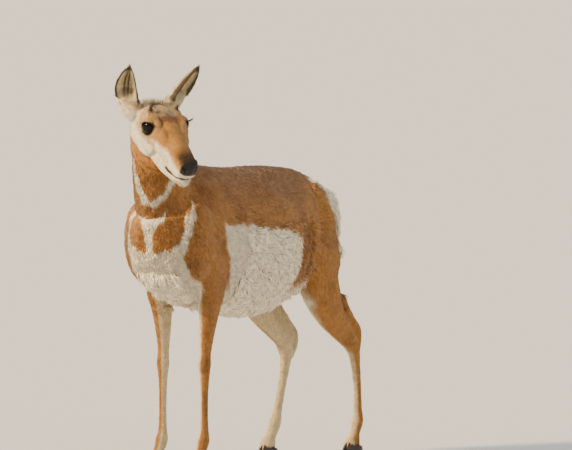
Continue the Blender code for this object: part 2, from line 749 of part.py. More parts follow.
for old in list(bpy.data.objects):
    bpy.data.objects.remove(old)

coat_tan = finish("tan_coat", TAN, 0.85)
coat_cream = finish("cream_coat", CREAM, 0.88)
horn_dark = finish("dark_horn", DARK, 0.45)
eye_dark = finish("dark_eye", "120C0A", 0.08)

nodes = {}


def keep(name, shape, material, smooth=True):
    """Keeps a shape as the named node of the model."""
    bmesh.ops.triangulate(shape, faces=shape.faces)
    made = as_object(name, shape)
    made.data.materials.append(material)
    if smooth:
        made.data.shade_smooth()
        made.data.set_sharp_from_angle(angle=math.radians(50))
    nodes[name] = made


# The head with its sockets, nostrils, mouth and the seats of the ears and horn nubs.
THROAT = on_head(0.0, 0.0, -0.1265)
THROAT_WAY = (HEAD_AXES @ Vector((0.20, 0.0, 0.98))).normalized()
head_skin = merged(head_pieces(), 0.0024, 8, 2200)
head_side, _ = halves(head_skin, THROAT, THROAT_WAY)
cutters = []
for side in (1, -1):
    root, axis, facing, outward = ear_frame(side)
    cutters.append(box_on(root + axis * EAR_SEAT, axis, 0.068, 0.03))
    nub, lean = nub_frame(side)
    cutters.append(box_on(nub, lean, 0.015, 0.02))
    cutters.append(lid_opening(side))
    cutters.append(eyeball(side, EYE_RADIUS + SEAM))
    cutters.append(nostril(side))
cutters.append(mouth_cutter())
keep("head", boolean(largest(head_side), cutters), coat_tan)
for side, word in ((1, "left"), (-1, "right")):
    keep(f"ear_{word}", ear(side, EAR_SEAT + SEAM), coat_cream)
    nub, lean = nub_frame(side)
    keep(f"horn_{word}", cone_on(nub + lean * SEAM, lean, NUB_RADIUS, 0.002, NUB_HEIGHT), horn_dark)
    keep(f"eye_{word}", eyeball(side, EYE_RADIUS), eye_dark)

# The body, modelled whole and parted into its regions.
body = merged(body_pieces(), 0.0050, 3, 3300, core_sink)
body = boolean(body, coat_locks(body), "UNION")
_, body = halves(body, THROAT, THROAT_WAY)
neck, trunk = halves(largest(body), (0.0, -0.235, 0.875), (0.0, -0.57, 0.82))
neck = largest(neck)
trunk, fore = halves(trunk, (0.0, -0.115, 0.6), (0.0, 1.0, 0.0))
chest, forelegs = halves(largest(fore), (0.0, 0.0, 0.470), (0.0, 0.0, 1.0))
trunk = largest(trunk)
rear, barrel = halves(trunk, (0.0, 0.235, 0.6), (0.0, 1.0, 0.10))
rump, thighs = halves(largest(rear), (0.0, 0.0, 0.600), (0.0, 0.0, 1.0))
tail, rump = halves(largest(rump), (0.0, 0.494, 0.7), (0.0, 1.0, 0.0))
keep("neck", neck, coat_tan)
keep("chest", largest(chest), coat_tan)
keep("barrel", largest(barrel), coat_cream)
keep("rump", largest(rump), coat_cream)

# Each leg is parted at its joints, and each foot stands on two claws.
for group, word_a in ((forelegs, "fore"), (thighs, "hind")):
    left_half, right_half = halves(group, (0, 0, 0), (1.0, 0.0, 0.0))
    legs = [largest(left_half), largest(right_half)]
    for leg, side, word in zip(legs, (1, -1), ("left", "right")):
        if word_a == "hind":
            rows = HIND_LEFT if side == 1 else HIND_RIGHT
            stifle = Vector((0, rows[4][1], rows[4][2]))
            way = Vector((0, rows[5][1] - rows[3][1], rows[5][2] - rows[3][2])).normalized()
            lower, thigh = halves(leg, stifle, way)
            keep(f"thigh_{word}", largest(thigh), coat_tan)
            shank, cannon = halves(largest(lower), (0, 0, 0.312), (0, 0, 1))
            keep(f"shank_{word}", largest(shank), coat_tan)
        else:
            rows = FORELEG
            arm, cannon = halves(leg, (0, 0, 0.316), (0, 0, 1))
            keep(f"forearm_{word}", largest(arm), coat_tan)
        cannon, foot = halves(largest(cannon), (0, 0, 0.100), (0, 0, 1))
        keep(f"{word_a}_cannon_{word}", largest(cannon), coat_tan)
        shift = rows[-2][1] - FORELEG[-2][1]
        scale = 1.0 if word_a == "fore" else HIND_SCALE
        centre = FORELEG[-2][1]
        sole = [centre + (y - centre) * scale + shift for y in FORE_SOLE]
        coronet = [centre + (y - centre) * scale + shift for y in FORE_CORONET]
        slope = (CORONET_FRONT - CORONET_HEEL) / (coronet[1] - coronet[0])
        pastern, _ = halves(largest(foot), (0.0, coronet[0], CORONET_HEEL), (0.0, -slope, 1.0))
        keep(f"{word_a}_pastern_{word}", largest(pastern), coat_tan)
        for inner, claw_word in ((1, "inner"), (-1, "outer")):
            middle = side * rows[-2][0]
            keep(f"{word_a}_claw_{word}_{claw_word}", claw(-inner * side, middle, sole, coronet), horn_dark)

keep("tail", largest(tail), coat_cream)

# The whole model is set on the middle of its footprint.
stand = bpy.data.objects.new("pronghorn", None)
bpy.context.collection.objects.link(stand)
corners = np.array([made.matrix_world @ vert.co for made in nodes.values() for vert in made.data.vertices])
middle_x, middle_y = (corners[:, :2].min(0) + corners[:, :2].max(0)) / 2
stand.location = (-middle_x, -middle_y, 0.0)
for made in nodes.values():
    made.parent = stand
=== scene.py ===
# A pronghorn doe, life size, standing still with her head turned to her left and her eyes on the viewer.
# Metres, +Z up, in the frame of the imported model. She faces -Y and her left side is +X.
import json
import math

import bmesh
import bpy
import numpy as np
from mathutils import Matrix, Vector

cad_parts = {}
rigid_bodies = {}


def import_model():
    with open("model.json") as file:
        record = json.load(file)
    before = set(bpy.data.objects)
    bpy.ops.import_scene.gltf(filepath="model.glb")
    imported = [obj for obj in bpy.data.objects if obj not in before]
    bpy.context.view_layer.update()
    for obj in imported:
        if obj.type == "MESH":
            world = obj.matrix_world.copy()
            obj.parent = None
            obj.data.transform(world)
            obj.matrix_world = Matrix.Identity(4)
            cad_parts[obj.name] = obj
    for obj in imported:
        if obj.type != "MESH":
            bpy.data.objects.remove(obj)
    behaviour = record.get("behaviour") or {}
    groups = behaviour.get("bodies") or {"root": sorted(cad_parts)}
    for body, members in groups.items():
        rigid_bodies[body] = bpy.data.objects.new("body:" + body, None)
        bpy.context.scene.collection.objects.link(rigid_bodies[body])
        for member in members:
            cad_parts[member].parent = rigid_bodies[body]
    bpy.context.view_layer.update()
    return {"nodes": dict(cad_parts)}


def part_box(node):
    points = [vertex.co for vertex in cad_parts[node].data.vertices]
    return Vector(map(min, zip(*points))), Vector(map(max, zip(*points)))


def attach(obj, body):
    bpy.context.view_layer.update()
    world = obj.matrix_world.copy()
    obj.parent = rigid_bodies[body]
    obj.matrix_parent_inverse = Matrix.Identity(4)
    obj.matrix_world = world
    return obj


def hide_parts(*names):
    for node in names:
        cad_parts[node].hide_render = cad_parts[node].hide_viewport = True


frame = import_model()

# The head's own frame: its crown, the way it is turned, how far the nose drops and how it tilts.
# Every shape of the animal is built round it and round the midline of the trunk, which lies on X = 0.
CROWN = Vector((0.036, -0.4155, 1.0765))
HEAD_TURN = math.radians(63.2)
HEAD_DROP = math.radians(40.5)
HEAD_TILT = math.radians(-2.5)
EYE_RADIUS = 0.0240
EYE_PLACE = (0.0880, 0.0485, -0.032)  # along the head, to the side and above the forehead line


def head_frame():
    """The axes of the head: along the nose, to its left and up from the forehead, as a matrix."""
    along = Vector((math.sin(HEAD_TURN) * math.cos(HEAD_DROP), -math.cos(HEAD_TURN) * math.cos(HEAD_DROP),
                    -math.sin(HEAD_DROP)))
    left = Matrix.Rotation(-HEAD_TILT, 3, along) @ Vector((math.cos(HEAD_TURN), math.sin(HEAD_TURN), 0.0))
    return Matrix((along, left, along.cross(left))).transposed()


HEAD_AXES = head_frame()


def on_head(along, left, up):
    return CROWN + HEAD_AXES @ Vector((along, left, up))


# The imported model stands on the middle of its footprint, so its place follows from where its eye lies.
eye_low, eye_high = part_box("eye_left")
SET_DOWN = (eye_low + eye_high) / 2 - on_head(*EYE_PLACE)
SET_DOWN.z = 0.0

# The camera stands far off with a long lens, a little above the back and ahead of the left shoulder.
VIEW_TURN = math.radians(32.0)
VIEW_RISE = math.radians(3.0)
VIEW_DISTANCE = 22.0
PICTURE_WIDTH = 572 / 350  # metres across the picture at the aim
SENSOR = 36.0
AIM = (0.1729, 0.6943)  # the picture's middle, to the right of the midline and above the floor

right_way = Vector((math.cos(VIEW_TURN), math.sin(VIEW_TURN), 0.0))
back_way = Vector((math.sin(VIEW_TURN) * math.cos(VIEW_RISE), -math.cos(VIEW_TURN) * math.cos(VIEW_RISE),
                   math.sin(VIEW_RISE)))
up_way = back_way.cross(right_way)
camera = bpy.data.objects.new("camera", bpy.data.cameras.new("camera"))
bpy.context.scene.collection.objects.link(camera)
camera.data.sensor_width = SENSOR
camera.data.lens = SENSOR * VIEW_DISTANCE / PICTURE_WIDTH
camera.data.clip_end = 400.0
camera.location = SET_DOWN + right_way * AIM[0] + up_way * AIM[1] + back_way * VIEW_DISTANCE
camera.rotation_euler = back_way.to_track_quat("Z", "Y").to_euler()
bpy.context.scene.camera = camera


# The floor is a plain pale studio floor with no edge in sight, in matt paint that takes a soft shadow and has
# no glint. A soft warm key comes from the camera's left, a pale sky fills the shadows, and a wide light behind
# lifts the outline of the back.
FLOOR_REACH = 150.0
FLOOR_COLOUR = "E4E1DB"
SKY_COLOUR = "EFEEEC"
SKY_STRENGTH = 0.74
KEY_COLOUR = "FFE2B4"


def linear(hex_colour):
    """An sRGB hex colour as linear red, green, blue and alpha."""
    parts = [int(hex_colour[i:i + 2], 16) / 255.0 for i in (0, 2, 4)]
    return [c / 12.92 if c < 0.04045 else ((c + 0.055) / 1.055) ** 2.4 for c in parts] + [1.0]


def new_material(name):
    """A material with its node tree, its Principled shader and nothing else."""
    made = bpy.data.materials.new(name)
    made.use_nodes = True
    return made, made.node_tree, made.node_tree.nodes["Principled BSDF"]


def add(tree, kind, settings=None, values=None, links=None):
    """A node with its properties, its input values and the links that feed it."""
    node = tree.nodes.new(kind)
    for key, value in (settings or {}).items():
        setattr(node, key, value)
    for key, value in (values or {}).items():
        node.inputs[key].default_value = value
    for key, socket in (links or {}).items():
        tree.links.new(socket, node.inputs[key])
    return node


def mesh_object(name, shape, material):
    """A smooth-shaded object from a bmesh, which is freed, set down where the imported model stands."""
    mesh = bpy.data.meshes.new(name)
    shape.to_mesh(mesh)
    shape.free()
    made = bpy.data.objects.new(name, mesh)
    bpy.context.scene.collection.objects.link(made)
    mesh.transform(Matrix.Translation(SET_DOWN))
    mesh.materials.append(material)
    mesh.shade_smooth()
    return made


floor_paint, tree, shader = new_material("pale_floor_paint")
shader.inputs["Base Color"].default_value = linear(FLOOR_COLOUR)
shader.inputs["Roughness"].default_value = 0.9
shape = bmesh.new()
bmesh.ops.create_circle(shape, cap_ends=True, segments=96, radius=FLOOR_REACH)
floor = mesh_object("floor", shape, floor_paint)

sky = bpy.data.worlds.new("studio_sky")
sky.use_nodes = True
sky.node_tree.nodes["Background"].inputs["Color"].default_value = linear(SKY_COLOUR)
sky.node_tree.nodes["Background"].inputs["Strength"].default_value = SKY_STRENGTH
bpy.context.scene.world = sky
for name, azimuth, elevation, strength, spread, tint in (
        ("key", -28.0, 30.0, 6.4, 9.0, KEY_COLOUR), ("fill", 78.0, 26.0, 0.5, 60.0, SKY_COLOUR),
        ("back", 190.0, 48.0, 0.8, 40.0, SKY_COLOUR)):
    lamp = bpy.data.objects.new(name, bpy.data.lights.new(name, "SUN"))
    bpy.context.scene.collection.objects.link(lamp)
    lamp.data.energy = strength
    lamp.data.angle = math.radians(spread)
    lamp.data.color = linear(tint)[:3]
    turn, rise = math.radians(azimuth), math.radians(elevation)
    lamp.rotation_euler = Vector((math.sin(turn) * math.cos(rise), -math.cos(turn) * math.cos(rise),
                                  math.sin(rise))).to_track_quat("Z", "Y").to_euler()


# The hide is one skin over neck, trunk, legs, tail, head and ears: flesh and bone masses laid out from
# measured sections, fused, smoothed, and drawn in by the depth of the coat that stands on it.
TRUNK = (
    (-0.412, 0.665, 0.035, 0.050, 0.050),
    (-0.385, 0.665, 0.080, 0.110, 0.095),
    (-0.330, 0.660, 0.112, 0.165, 0.145),
    (-0.270, 0.665, 0.126, 0.195, 0.180),
    (-0.200, 0.665, 0.132, 0.210, 0.190),
    (-0.120, 0.655, 0.142, 0.215, 0.188),
    (-0.030, 0.640, 0.160, 0.224, 0.197),
    (0.050, 0.635, 0.172, 0.225, 0.205),
    (0.120, 0.645, 0.174, 0.211, 0.210),
    (0.190, 0.670, 0.163, 0.183, 0.200),
    (0.260, 0.695, 0.143, 0.153, 0.165),
    (0.330, 0.710, 0.125, 0.128, 0.140),
    (0.405, 0.712, 0.106, 0.104, 0.130),
    (0.455, 0.706, 0.082, 0.082, 0.108),
    (0.488, 0.700, 0.045, 0.050, 0.064),
)
# The long muscles along the spine, which carry the line of the back level from withers to hip.
LOIN = (
    (0.0, -0.160, 0.775, 0.050, 0.082, 0.050),
    (0.0, 0.000, 0.775, 0.080, 0.086, 0.050),
    (0.0, 0.140, 0.775, 0.092, 0.086, 0.050),
    (0.0, 0.260, 0.770, 0.092, 0.084, 0.050),
    (0.0, 0.330, 0.765, 0.085, 0.079, 0.050),
    (0.0, 0.405, 0.755, 0.068, 0.066, 0.050),
    (0.0, 0.450, 0.740, 0.040, 0.040, 0.040),
)
# The neck from the chest up into the head: X, Y, Z, half width, reach forward and reach back.
NECK = (
    (0.000, -0.240, 0.650, 0.098, 0.130, 0.100),
    (0.000, -0.285, 0.730, 0.089, 0.118, 0.118),
    (0.000, -0.330, 0.800, 0.077, 0.096, 0.106),
    (0.000, -0.357, 0.860, 0.068, 0.081, 0.092),
    (0.000, -0.372, 0.920, 0.062, 0.073, 0.080),
    (0.000, -0.385, 0.970, 0.060, 0.070, 0.072),
    (0.002, -0.395, 1.010, 0.051, 0.059, 0.057),
    (0.012, -0.400, 1.040, 0.041, 0.045, 0.043),
)

# One foreleg from the shoulder to the coronet, and each hind leg from the hip to the coronet,
# as distance from the midline, Y, Z, half width, reach forward and reach back.
FORELEG = (
    (0.088, -0.240, 0.680, 0.042, 0.090, 0.090),
    (0.091, -0.232, 0.600, 0.038, 0.073, 0.078),
    (0.088, -0.216, 0.530, 0.033, 0.050, 0.060),
    (0.080, -0.212, 0.465, 0.0265, 0.034, 0.040),
    (0.074, -0.213, 0.405, 0.0205, 0.025, 0.0275),
    (0.071, -0.216, 0.350, 0.0160, 0.0185, 0.0190),
    (0.070, -0.219, 0.315, 0.0180, 0.0200, 0.0180),
    (0.070, -0.220, 0.285, 0.0150, 0.0160, 0.0165),
    (0.070, -0.221, 0.240, 0.0112, 0.0122, 0.0140),
    (0.070, -0.222, 0.170, 0.0105, 0.0115, 0.0138),
    (0.070, -0.223, 0.125, 0.0120, 0.0130, 0.0165),
    (0.070, -0.227, 0.098, 0.0165, 0.0175, 0.0205),
    (0.070, -0.241, 0.066, 0.0150, 0.0165, 0.0175),
    (0.070, -0.252, 0.040, 0.0230, 0.0245, 0.0215),
    (0.070, -0.258, 0.015, 0.0230, 0.0245, 0.0215),
)
HIND_LEFT = (
    (0.075, 0.345, 0.720, 0.052, 0.120, 0.105),
    (0.088, 0.335, 0.620, 0.054, 0.112, 0.118),
    (0.098, 0.330, 0.555, 0.048, 0.088, 0.112),
    (0.102, 0.350, 0.495, 0.040, 0.074, 0.092),
    (0.099, 0.400, 0.435, 0.031, 0.056, 0.062),
    (0.094, 0.455, 0.390, 0.024, 0.040, 0.044),
    (0.090, 0.510, 0.352, 0.0205, 0.031, 0.034),
    (0.091, 0.547, 0.315, 0.0175, 0.024, 0.027),
    (0.092, 0.560, 0.265, 0.0125, 0.0165, 0.0190),
    (0.093, 0.568, 0.200, 0.0108, 0.0132, 0.0158),
    (0.093, 0.571, 0.140, 0.0112, 0.0138, 0.0170),
    (0.093, 0.570, 0.105, 0.0160, 0.0178, 0.0205),
    (0.093, 0.556, 0.070, 0.0145, 0.0165, 0.0178),
    (0.093, 0.542, 0.040, 0.0220, 0.0235, 0.0210),
    (0.093, 0.536, 0.015, 0.0220, 0.0235, 0.0210),
)
HIND_RIGHT = (
    (0.075, 0.335, 0.720, 0.052, 0.120, 0.110),
    (0.088, 0.315, 0.620, 0.054, 0.105, 0.118),
    (0.098, 0.290, 0.560, 0.048, 0.080, 0.108),
    (0.098, 0.290, 0.500, 0.040, 0.066, 0.082),
    (0.088, 0.325, 0.435, 0.031, 0.052, 0.058),
    (0.075, 0.368, 0.385, 0.024, 0.038, 0.042),
    (0.066, 0.408, 0.345, 0.0200, 0.030, 0.034),
    (0.065, 0.428, 0.305, 0.0175, 0.024, 0.027),
    (0.065, 0.423, 0.260, 0.0125, 0.0165, 0.0190),
    (0.065, 0.404, 0.200, 0.0108, 0.0132, 0.0158),
    (0.065, 0.384, 0.140, 0.0112, 0.0138, 0.0170),
    (0.065, 0.371, 0.105, 0.0160, 0.0178, 0.0205),
    (0.065, 0.348, 0.070, 0.0145, 0.0165, 0.0178),
    (0.065, 0.331, 0.040, 0.0220, 0.0235, 0.0210),
    (0.065, 0.325, 0.015, 0.0220, 0.0235, 0.0210),
)
# The heel tendon of each hind leg, from the thigh to the point of the hock.
TENDON_LEFT = (
    (0.099, 0.455, 0.470, 0.016, 0.020, 0.020),
    (0.093, 0.525, 0.412, 0.010, 0.012, 0.011),
    (0.090, 0.566, 0.375, 0.0125, 0.015, 0.013),
    (0.090, 0.570, 0.345, 0.0145, 0.018, 0.016),
    (0.090, 0.562, 0.305, 0.0140, 0.018, 0.016),
)
TENDON_RIGHT = (
    (0.090, 0.375, 0.480, 0.016, 0.020, 0.020),
    (0.073, 0.436, 0.405, 0.010, 0.012, 0.011),
    (0.066, 0.470, 0.362, 0.0125, 0.015, 0.013),
    (0.065, 0.468, 0.330, 0.0145, 0.018, 0.016),
    (0.065, 0.445, 0.295, 0.0140, 0.018, 0.016),
)
# The thin web of skin between each shank and its heel tendon.
WEB_LEFT = (
    (0.094, 0.470, 0.445, 0.009, 0.030, 0.030),
    (0.090, 0.530, 0.380, 0.009, 0.032, 0.034),
    (0.090, 0.556, 0.335, 0.010, 0.026, 0.020),
)
WEB_RIGHT = (
    (0.076, 0.380, 0.440, 0.009, 0.030, 0.030),
    (0.066, 0.436, 0.372, 0.009, 0.034, 0.034),
    (0.065, 0.450, 0.320, 0.010, 0.026, 0.020),
)
# The tail hangs down over the rump: Y, Z, half width and half thickness.
TAIL = (
    (0.445, 0.792, 0.022, 0.018),
    (0.495, 0.772, 0.026, 0.017),
    (0.519, 0.728, 0.029, 0.014),
    (0.525, 0.690, 0.022, 0.010),
    (0.526, 0.668, 0.010, 0.006),
)

# Sections of the skull and muzzle from the crown to the nose: distance along the head,
# height of the forehead line, of the widest line and of the underside, and half width.
SKULL = (
    (-0.034, -0.060, -0.068, -0.085, 0.028),
    (-0.015, -0.036, -0.057, -0.100, 0.044),
    (0.012, -0.018, -0.050, -0.112, 0.052),
    (0.045, -0.006, -0.047, -0.122, 0.056),
    (0.080, -0.001, -0.047, -0.120, 0.056),
    (0.115, -0.002, -0.049, -0.108, 0.0495),
    (0.150, -0.004, -0.048, -0.098, 0.0430),
    (0.187, -0.006, -0.046, -0.091, 0.0365),
    (0.220, -0.007, -0.043, -0.085, 0.0325),
    (0.245, -0.009, -0.042, -0.077, 0.0310),
    (0.262, -0.013, -0.041, -0.070, 0.0285),
    (0.276, -0.024, -0.043, -0.061, 0.0190),
)
JAW = (
    (0.026, -0.072, -0.102, -0.138, 0.038),
    (0.070, -0.074, -0.104, -0.143, 0.045),
    (0.115, -0.072, -0.102, -0.141, 0.041),
    (0.160, -0.072, -0.099, -0.136, 0.034),
    (0.200, -0.074, -0.095, -0.126, 0.0285),
    (0.231, -0.073, -0.089, -0.114, 0.0265),
    (0.252, -0.070, -0.083, -0.104, 0.0240),
    (0.268, -0.068, -0.078, -0.091, 0.0145),
)
# The line between the lips, from the corner of the mouth to its front: along the head and height.
MOUTH = ((0.192, -0.0900), (0.208, -0.0900), (0.225, -0.0850), (0.245, -0.0770), (0.262, -0.0700),
         (0.290, -0.0640))
MOUTH_SLOT = 0.0009
MOUTH_DEPTH = 0.0050
EYE_GAZE = (0.52, 0.82, 0.10)
LID = 0.0030
LID_LENGTH = 0.0460
LID_HEIGHT = 0.0330
LID_TAPER = 0.25  # how much flatter the opening is towards its corners
LID_SLANT = (1.0, 0.0, 0.85)  # the way the opening's long axis runs, in the head's frame
EAR_ROOT = (0.000, 0.0645, -0.042)
EAR_LEAN_LEFT = (-0.17, 0.40, 0.91)
EAR_LEAN_RIGHT = (-0.27, 0.24, 0.93)
EAR_FACING_LEFT = (0.90, 0.40, 0.04)
EAR_FACING_RIGHT = (0.85, 0.48, 0.00)
EAR_LENGTH = 0.136
EAR_HALF_WIDTH = 0.0312
EAR_CUP = 0.030
EAR_BOW = 0.015
EAR_WALL = 0.0034
EAR_SEAT = 0.012  # how far up the ear leaves its fleshy root
NOSTRIL_PLACE = (0.271, 0.0185, -0.031)
HEAD_COAT = 0.0013


def smoothed(rows, steps=4):
    """Rows read off a smooth curve through the given rows, with `steps` to each span."""
    rows = np.array(rows, dtype=float)
    padded = np.vstack([2 * rows[0] - rows[1], rows, 2 * rows[-1] - rows[-2]])
    out = []
    for i in range(1, len(padded) - 2):
        before, start, end, after = padded[i - 1:i + 3]
        for step in range(steps):
            u = step / steps
            out.append(0.5 * (2 * start + (end - before) * u
                              + (2 * before - 5 * start + 4 * end - after) * u ** 2
                              + (3 * start - before - 3 * end + after) * u ** 3))
    out.append(rows[-1])
    return out


def skin_rings(rings):
    """A closed mesh over rings of points, with a flat cap at each end."""
    shape = bmesh.new()
    made = [[shape.verts.new(p) for p in ring] for ring in rings]
    for low, high in zip(made, made[1:]):
        for i in range(len(low)):
            j = (i + 1) % len(low)
            shape.faces.new((low[i], low[j], high[j], high[i]))
    shape.faces.new(list(reversed(made[0])))
    shape.faces.new(made[-1])
    bmesh.ops.recalc_face_normals(shape, faces=shape.faces)
    return shape


def limb(rows, side=1.0, fore=(0.0, -1.0, 0.0), count=20):
    """A loft along a path of rows: place, half width, reach towards `fore` and reach away from it."""
    rows = smoothed([(side * r[0], *r[1:]) for r in rows])
    places = [Vector(r[:3]) for r in rows]
    rings = []
    for i, row in enumerate(rows):
        along = (places[min(i + 1, len(rows) - 1)] - places[max(i - 1, 0)]).normalized()
        front = Vector(fore)
        front = (front - along * front.dot(along)).normalized()
        across = along.cross(front)
        ring = []
        for k in range(count):
            angle = 2 * math.pi * k / count
            reach = row[4] if math.cos(angle) > 0 else row[5]
            ring.append(places[i] + across * (row[3] * math.sin(angle)) + front * (reach * math.cos(angle)))
        rings.append(ring)
    return skin_rings(rings)


def mass(place, radii, turn=None):
    """A rounded muscle or bone mass."""
    shape = bmesh.new()
    bmesh.ops.create_icosphere(shape, subdivisions=3, radius=1.0)
    turn = turn.to_4x4() if turn else Matrix.Identity(4)
    bmesh.ops.transform(shape, verts=shape.verts, matrix=Matrix.Translation(place) @ turn
                        @ Matrix.Diagonal((*radii, 1.0)))
    return shape


def head_loft(rows, count=40):
    """A loft along the head through sections with a forehead line, a widest line and an underside."""
    rings = []
    for along, top, middle, bottom, half in smoothed(rows):
        ring = []
        for k in range(count):
            angle = 2 * math.pi * k / count
            rise = math.sin(angle)
            reach = top - middle if rise > 0 else middle - bottom
            ring.append(on_head(along, half * math.cos(angle), middle + reach * rise))
        rings.append(ring)
    return skin_rings(rings)


def sided(place, side):
    """A point in the head's frame, mirrored for the right side."""
    return place[0], place[1] * side, place[2]


def head_direction(way, side):
    return (HEAD_AXES @ Vector(sided(way, side))).normalized()


def ear_frame(side):
    """The ear's root, its length axis, the way its cup faces and the axis across it."""
    axis = head_direction(EAR_LEAN_LEFT if side == 1 else EAR_LEAN_RIGHT, side)
    facing = head_direction(EAR_FACING_LEFT if side == 1 else EAR_FACING_RIGHT, side)
    facing = (facing - axis * facing.dot(axis)).normalized()
    return on_head(*sided(EAR_ROOT, side)), axis, facing, axis.cross(facing) * side


def ear_half_width(s):
    return EAR_HALF_WIDTH * (1 - ((s - 0.36) / 0.66) ** 2 * np.where(s > 0.36, 1.0, 0.75))


def ear_depth(s):
    return EAR_CUP * (1 - ((s - 0.25) / 0.80) ** 2)


def ear_bow(s):
    return EAR_BOW * np.sin(math.pi * np.maximum(0.0, s) ** 0.85)


def ear_stub(side):
    """The fleshy root under an ear, as wide as the ear where it leaves the head."""
    root, axis, facing, outward = ear_frame(side)
    s = EAR_SEAT / EAR_LENGTH
    rings = []
    for along, inward, swell in ((-0.060, 0.042, 0.95), (-0.035, 0.022, 1.15), (-0.015, 0.008, 1.16),
                                 (0.002, 0.001, 1.08), (EAR_SEAT + 0.012, 0.0, 1.0)):
        half = ear_half_width(s) * swell
        deep = ear_depth(s) * swell
        ring = []
        for k in range(20):
            angle = 2 * math.pi * k / 20
            reach = deep if math.cos(angle) > 0 else deep * 0.4
            ring.append(root + axis * along + outward * (ear_bow(s) - inward + half * math.sin(angle))
                        - facing * (reach * math.cos(angle)))
        rings.append(ring)
    return skin_rings(rings)


def eyeball(side, radius, segments):
    shape = bmesh.new()
    bmesh.ops.create_uvsphere(shape, u_segments=segments, v_segments=segments // 2, radius=radius,
                              matrix=Matrix.Translation(on_head(*sided(EYE_PLACE, side))))
    return shape


def lid_frame(side):
    """The middle of an eye, the way it looks, the long axis of its opening and the way up across it."""
    gaze = head_direction(EYE_GAZE, side)
    along = HEAD_AXES @ Vector(LID_SLANT)
    along = (along - gaze * along.dot(gaze)).normalized()
    up = along.cross(gaze)
    up = up if up.dot(HEAD_AXES.col[2]) > 0 else -up
    return on_head(*sided(EYE_PLACE, side)), gaze, along, up


def lid_opening(side):
    """The almond between the lids, standing out from the middle of the eye along its gaze."""
    middle, gaze, along, up = lid_frame(side)
    rings = []
    for reach in (0.45 * EYE_RADIUS, 2.2 * EYE_RADIUS):
        ring = []
        for k in range(48):
            angle = 2 * math.pi * k / 48
            height = LID_HEIGHT / 2 * (1.05 if math.sin(angle) > 0 else 0.95)
            ring.append(middle + gaze * reach + along * (LID_LENGTH / 2 * math.cos(angle))
                        + up * (height * math.sin(angle) * (1 - LID_TAPER * math.cos(angle) ** 2)))
        rings.append(ring)
    return skin_rings(rings)


def head_pieces():
    """The masses under the skin of the head."""
    pieces = [head_loft(SKULL), head_loft(JAW)]
    turn = HEAD_AXES
    for side in (1, -1):
        pieces += [
            mass(on_head(0.086, side * 0.038, -0.040), (0.062, 0.026, 0.040), turn),
            mass(on_head(0.128, side * 0.028, -0.040), (0.052, 0.022, 0.032), turn),
            mass(on_head(0.064, side * 0.041, -0.017), (0.034, 0.017, 0.013), turn),
            mass(on_head(0.070, side * 0.038, -0.080), (0.068, 0.025, 0.058), turn),
            mass(on_head(0.232, side * 0.0175, -0.064), (0.037, 0.0155, 0.0170), turn),
            mass(on_head(0.253, side * 0.0150, -0.029), (0.018, 0.0145, 0.0155), turn),
            mass(on_head(*sided(EYE_PLACE, side)), [EYE_RADIUS + LID] * 3),
            ear_stub(side),
        ]
    pieces += [
        mass(on_head(0.256, 0.0, -0.086), (0.021, 0.018, 0.016), HEAD_AXES),
        mass(on_head(0.266, 0.0, -0.038), (0.015, 0.020, 0.022), HEAD_AXES),
        limb(NECK),
    ]
    return pieces


def mouth_cutter():
    """A thin slot round the muzzle along the line of the mouth, open outward and shallow."""
    slab = head_loft([(along, height + MOUTH_SLOT, height, height - MOUTH_SLOT, 0.06)
                      for along, height in MOUTH])
    core = head_loft([(along, height + 0.03, height, height - 0.03, half - MOUTH_DEPTH)
                      for along, height, half in ((0.150, -0.089, 0.0400), (0.199, -0.089, 0.0330),
                                                  (0.229, -0.083, 0.0295), (0.250, -0.075, 0.0265),
                                                  (0.262, -0.070, 0.0190), (0.267, -0.067, 0.0100))])
    return boolean(slab, [core])


def nostril(side):
    """A comma-shaped slot on the side of the nose."""
    slant = Matrix.Rotation(math.radians(-35 * side), 3, "Z") @ Matrix.Rotation(math.radians(25), 3, "Y")
    return mass(on_head(*sided(NOSTRIL_PLACE, side)), (0.0110, 0.0060, 0.0045), HEAD_AXES @ slant)


def body_pieces():
    """The masses under the skin of the neck, trunk and legs."""
    trunk = [(0.0, y, z, half, up, down) for y, z, half, up, down in TRUNK]
    tail = [(0.0, y, z, half, deep, deep) for y, z, half, deep in TAIL]
    pieces = [
        limb(trunk, fore=(0, 0, 1), count=32),
        limb(NECK),
        limb(FORELEG, 1),
        limb(FORELEG, -1),
        limb(HIND_LEFT, 1),
        limb(HIND_RIGHT, -1),
        limb(TENDON_LEFT, 1),
        limb(TENDON_RIGHT, -1),
        limb(WEB_LEFT, 1, count=12),
        limb(WEB_RIGHT, -1, count=12),
        limb(tail),
        mass((0.0, -0.20, 0.800), (0.045, 0.09, 0.078)),
        mass((0.0, 0.235, 0.530), (0.060, 0.070, 0.040)),
        limb(LOIN, fore=(0, 0, 1)),
    ]
    for side in (1, -1):
        pieces += [
            mass((side * 0.088, -0.290, 0.665), (0.046, 0.075, 0.120)),
            mass((side * 0.078, 0.345, 0.690), (0.060, 0.110, 0.120)),
        ]
        for y in (0.222, 0.250):
            teat = limb(((0, y, 0.515, 0.011, 0.011, 0.011), (0, y, 0.490, 0.0065, 0.0065, 0.0065),
                         (0, y, 0.474, 0.0045, 0.0045, 0.0045)), count=10)
            bmesh.ops.translate(teat, verts=teat.verts, vec=(side * 0.028, 0, 0))
            pieces.append(teat)
    return pieces


THROAT = on_head(0.0, 0.0, -0.1265)
THROAT_WAY = (HEAD_AXES @ Vector((0.20, 0.0, 0.98))).normalized()
EYELINE = 0.0003  # the gap between the eyeball and the lids
BODY_GRAIN = 0.0040
HEAD_GRAIN = 0.0020
BODY_FACES = 130000


def ramp(value, low, high):
    """A smooth step from 0 at `low` to 1 at `high`."""
    u = np.clip((value - low) / (high - low), 0.0, 1.0)
    return u * u * (3 - 2 * u)


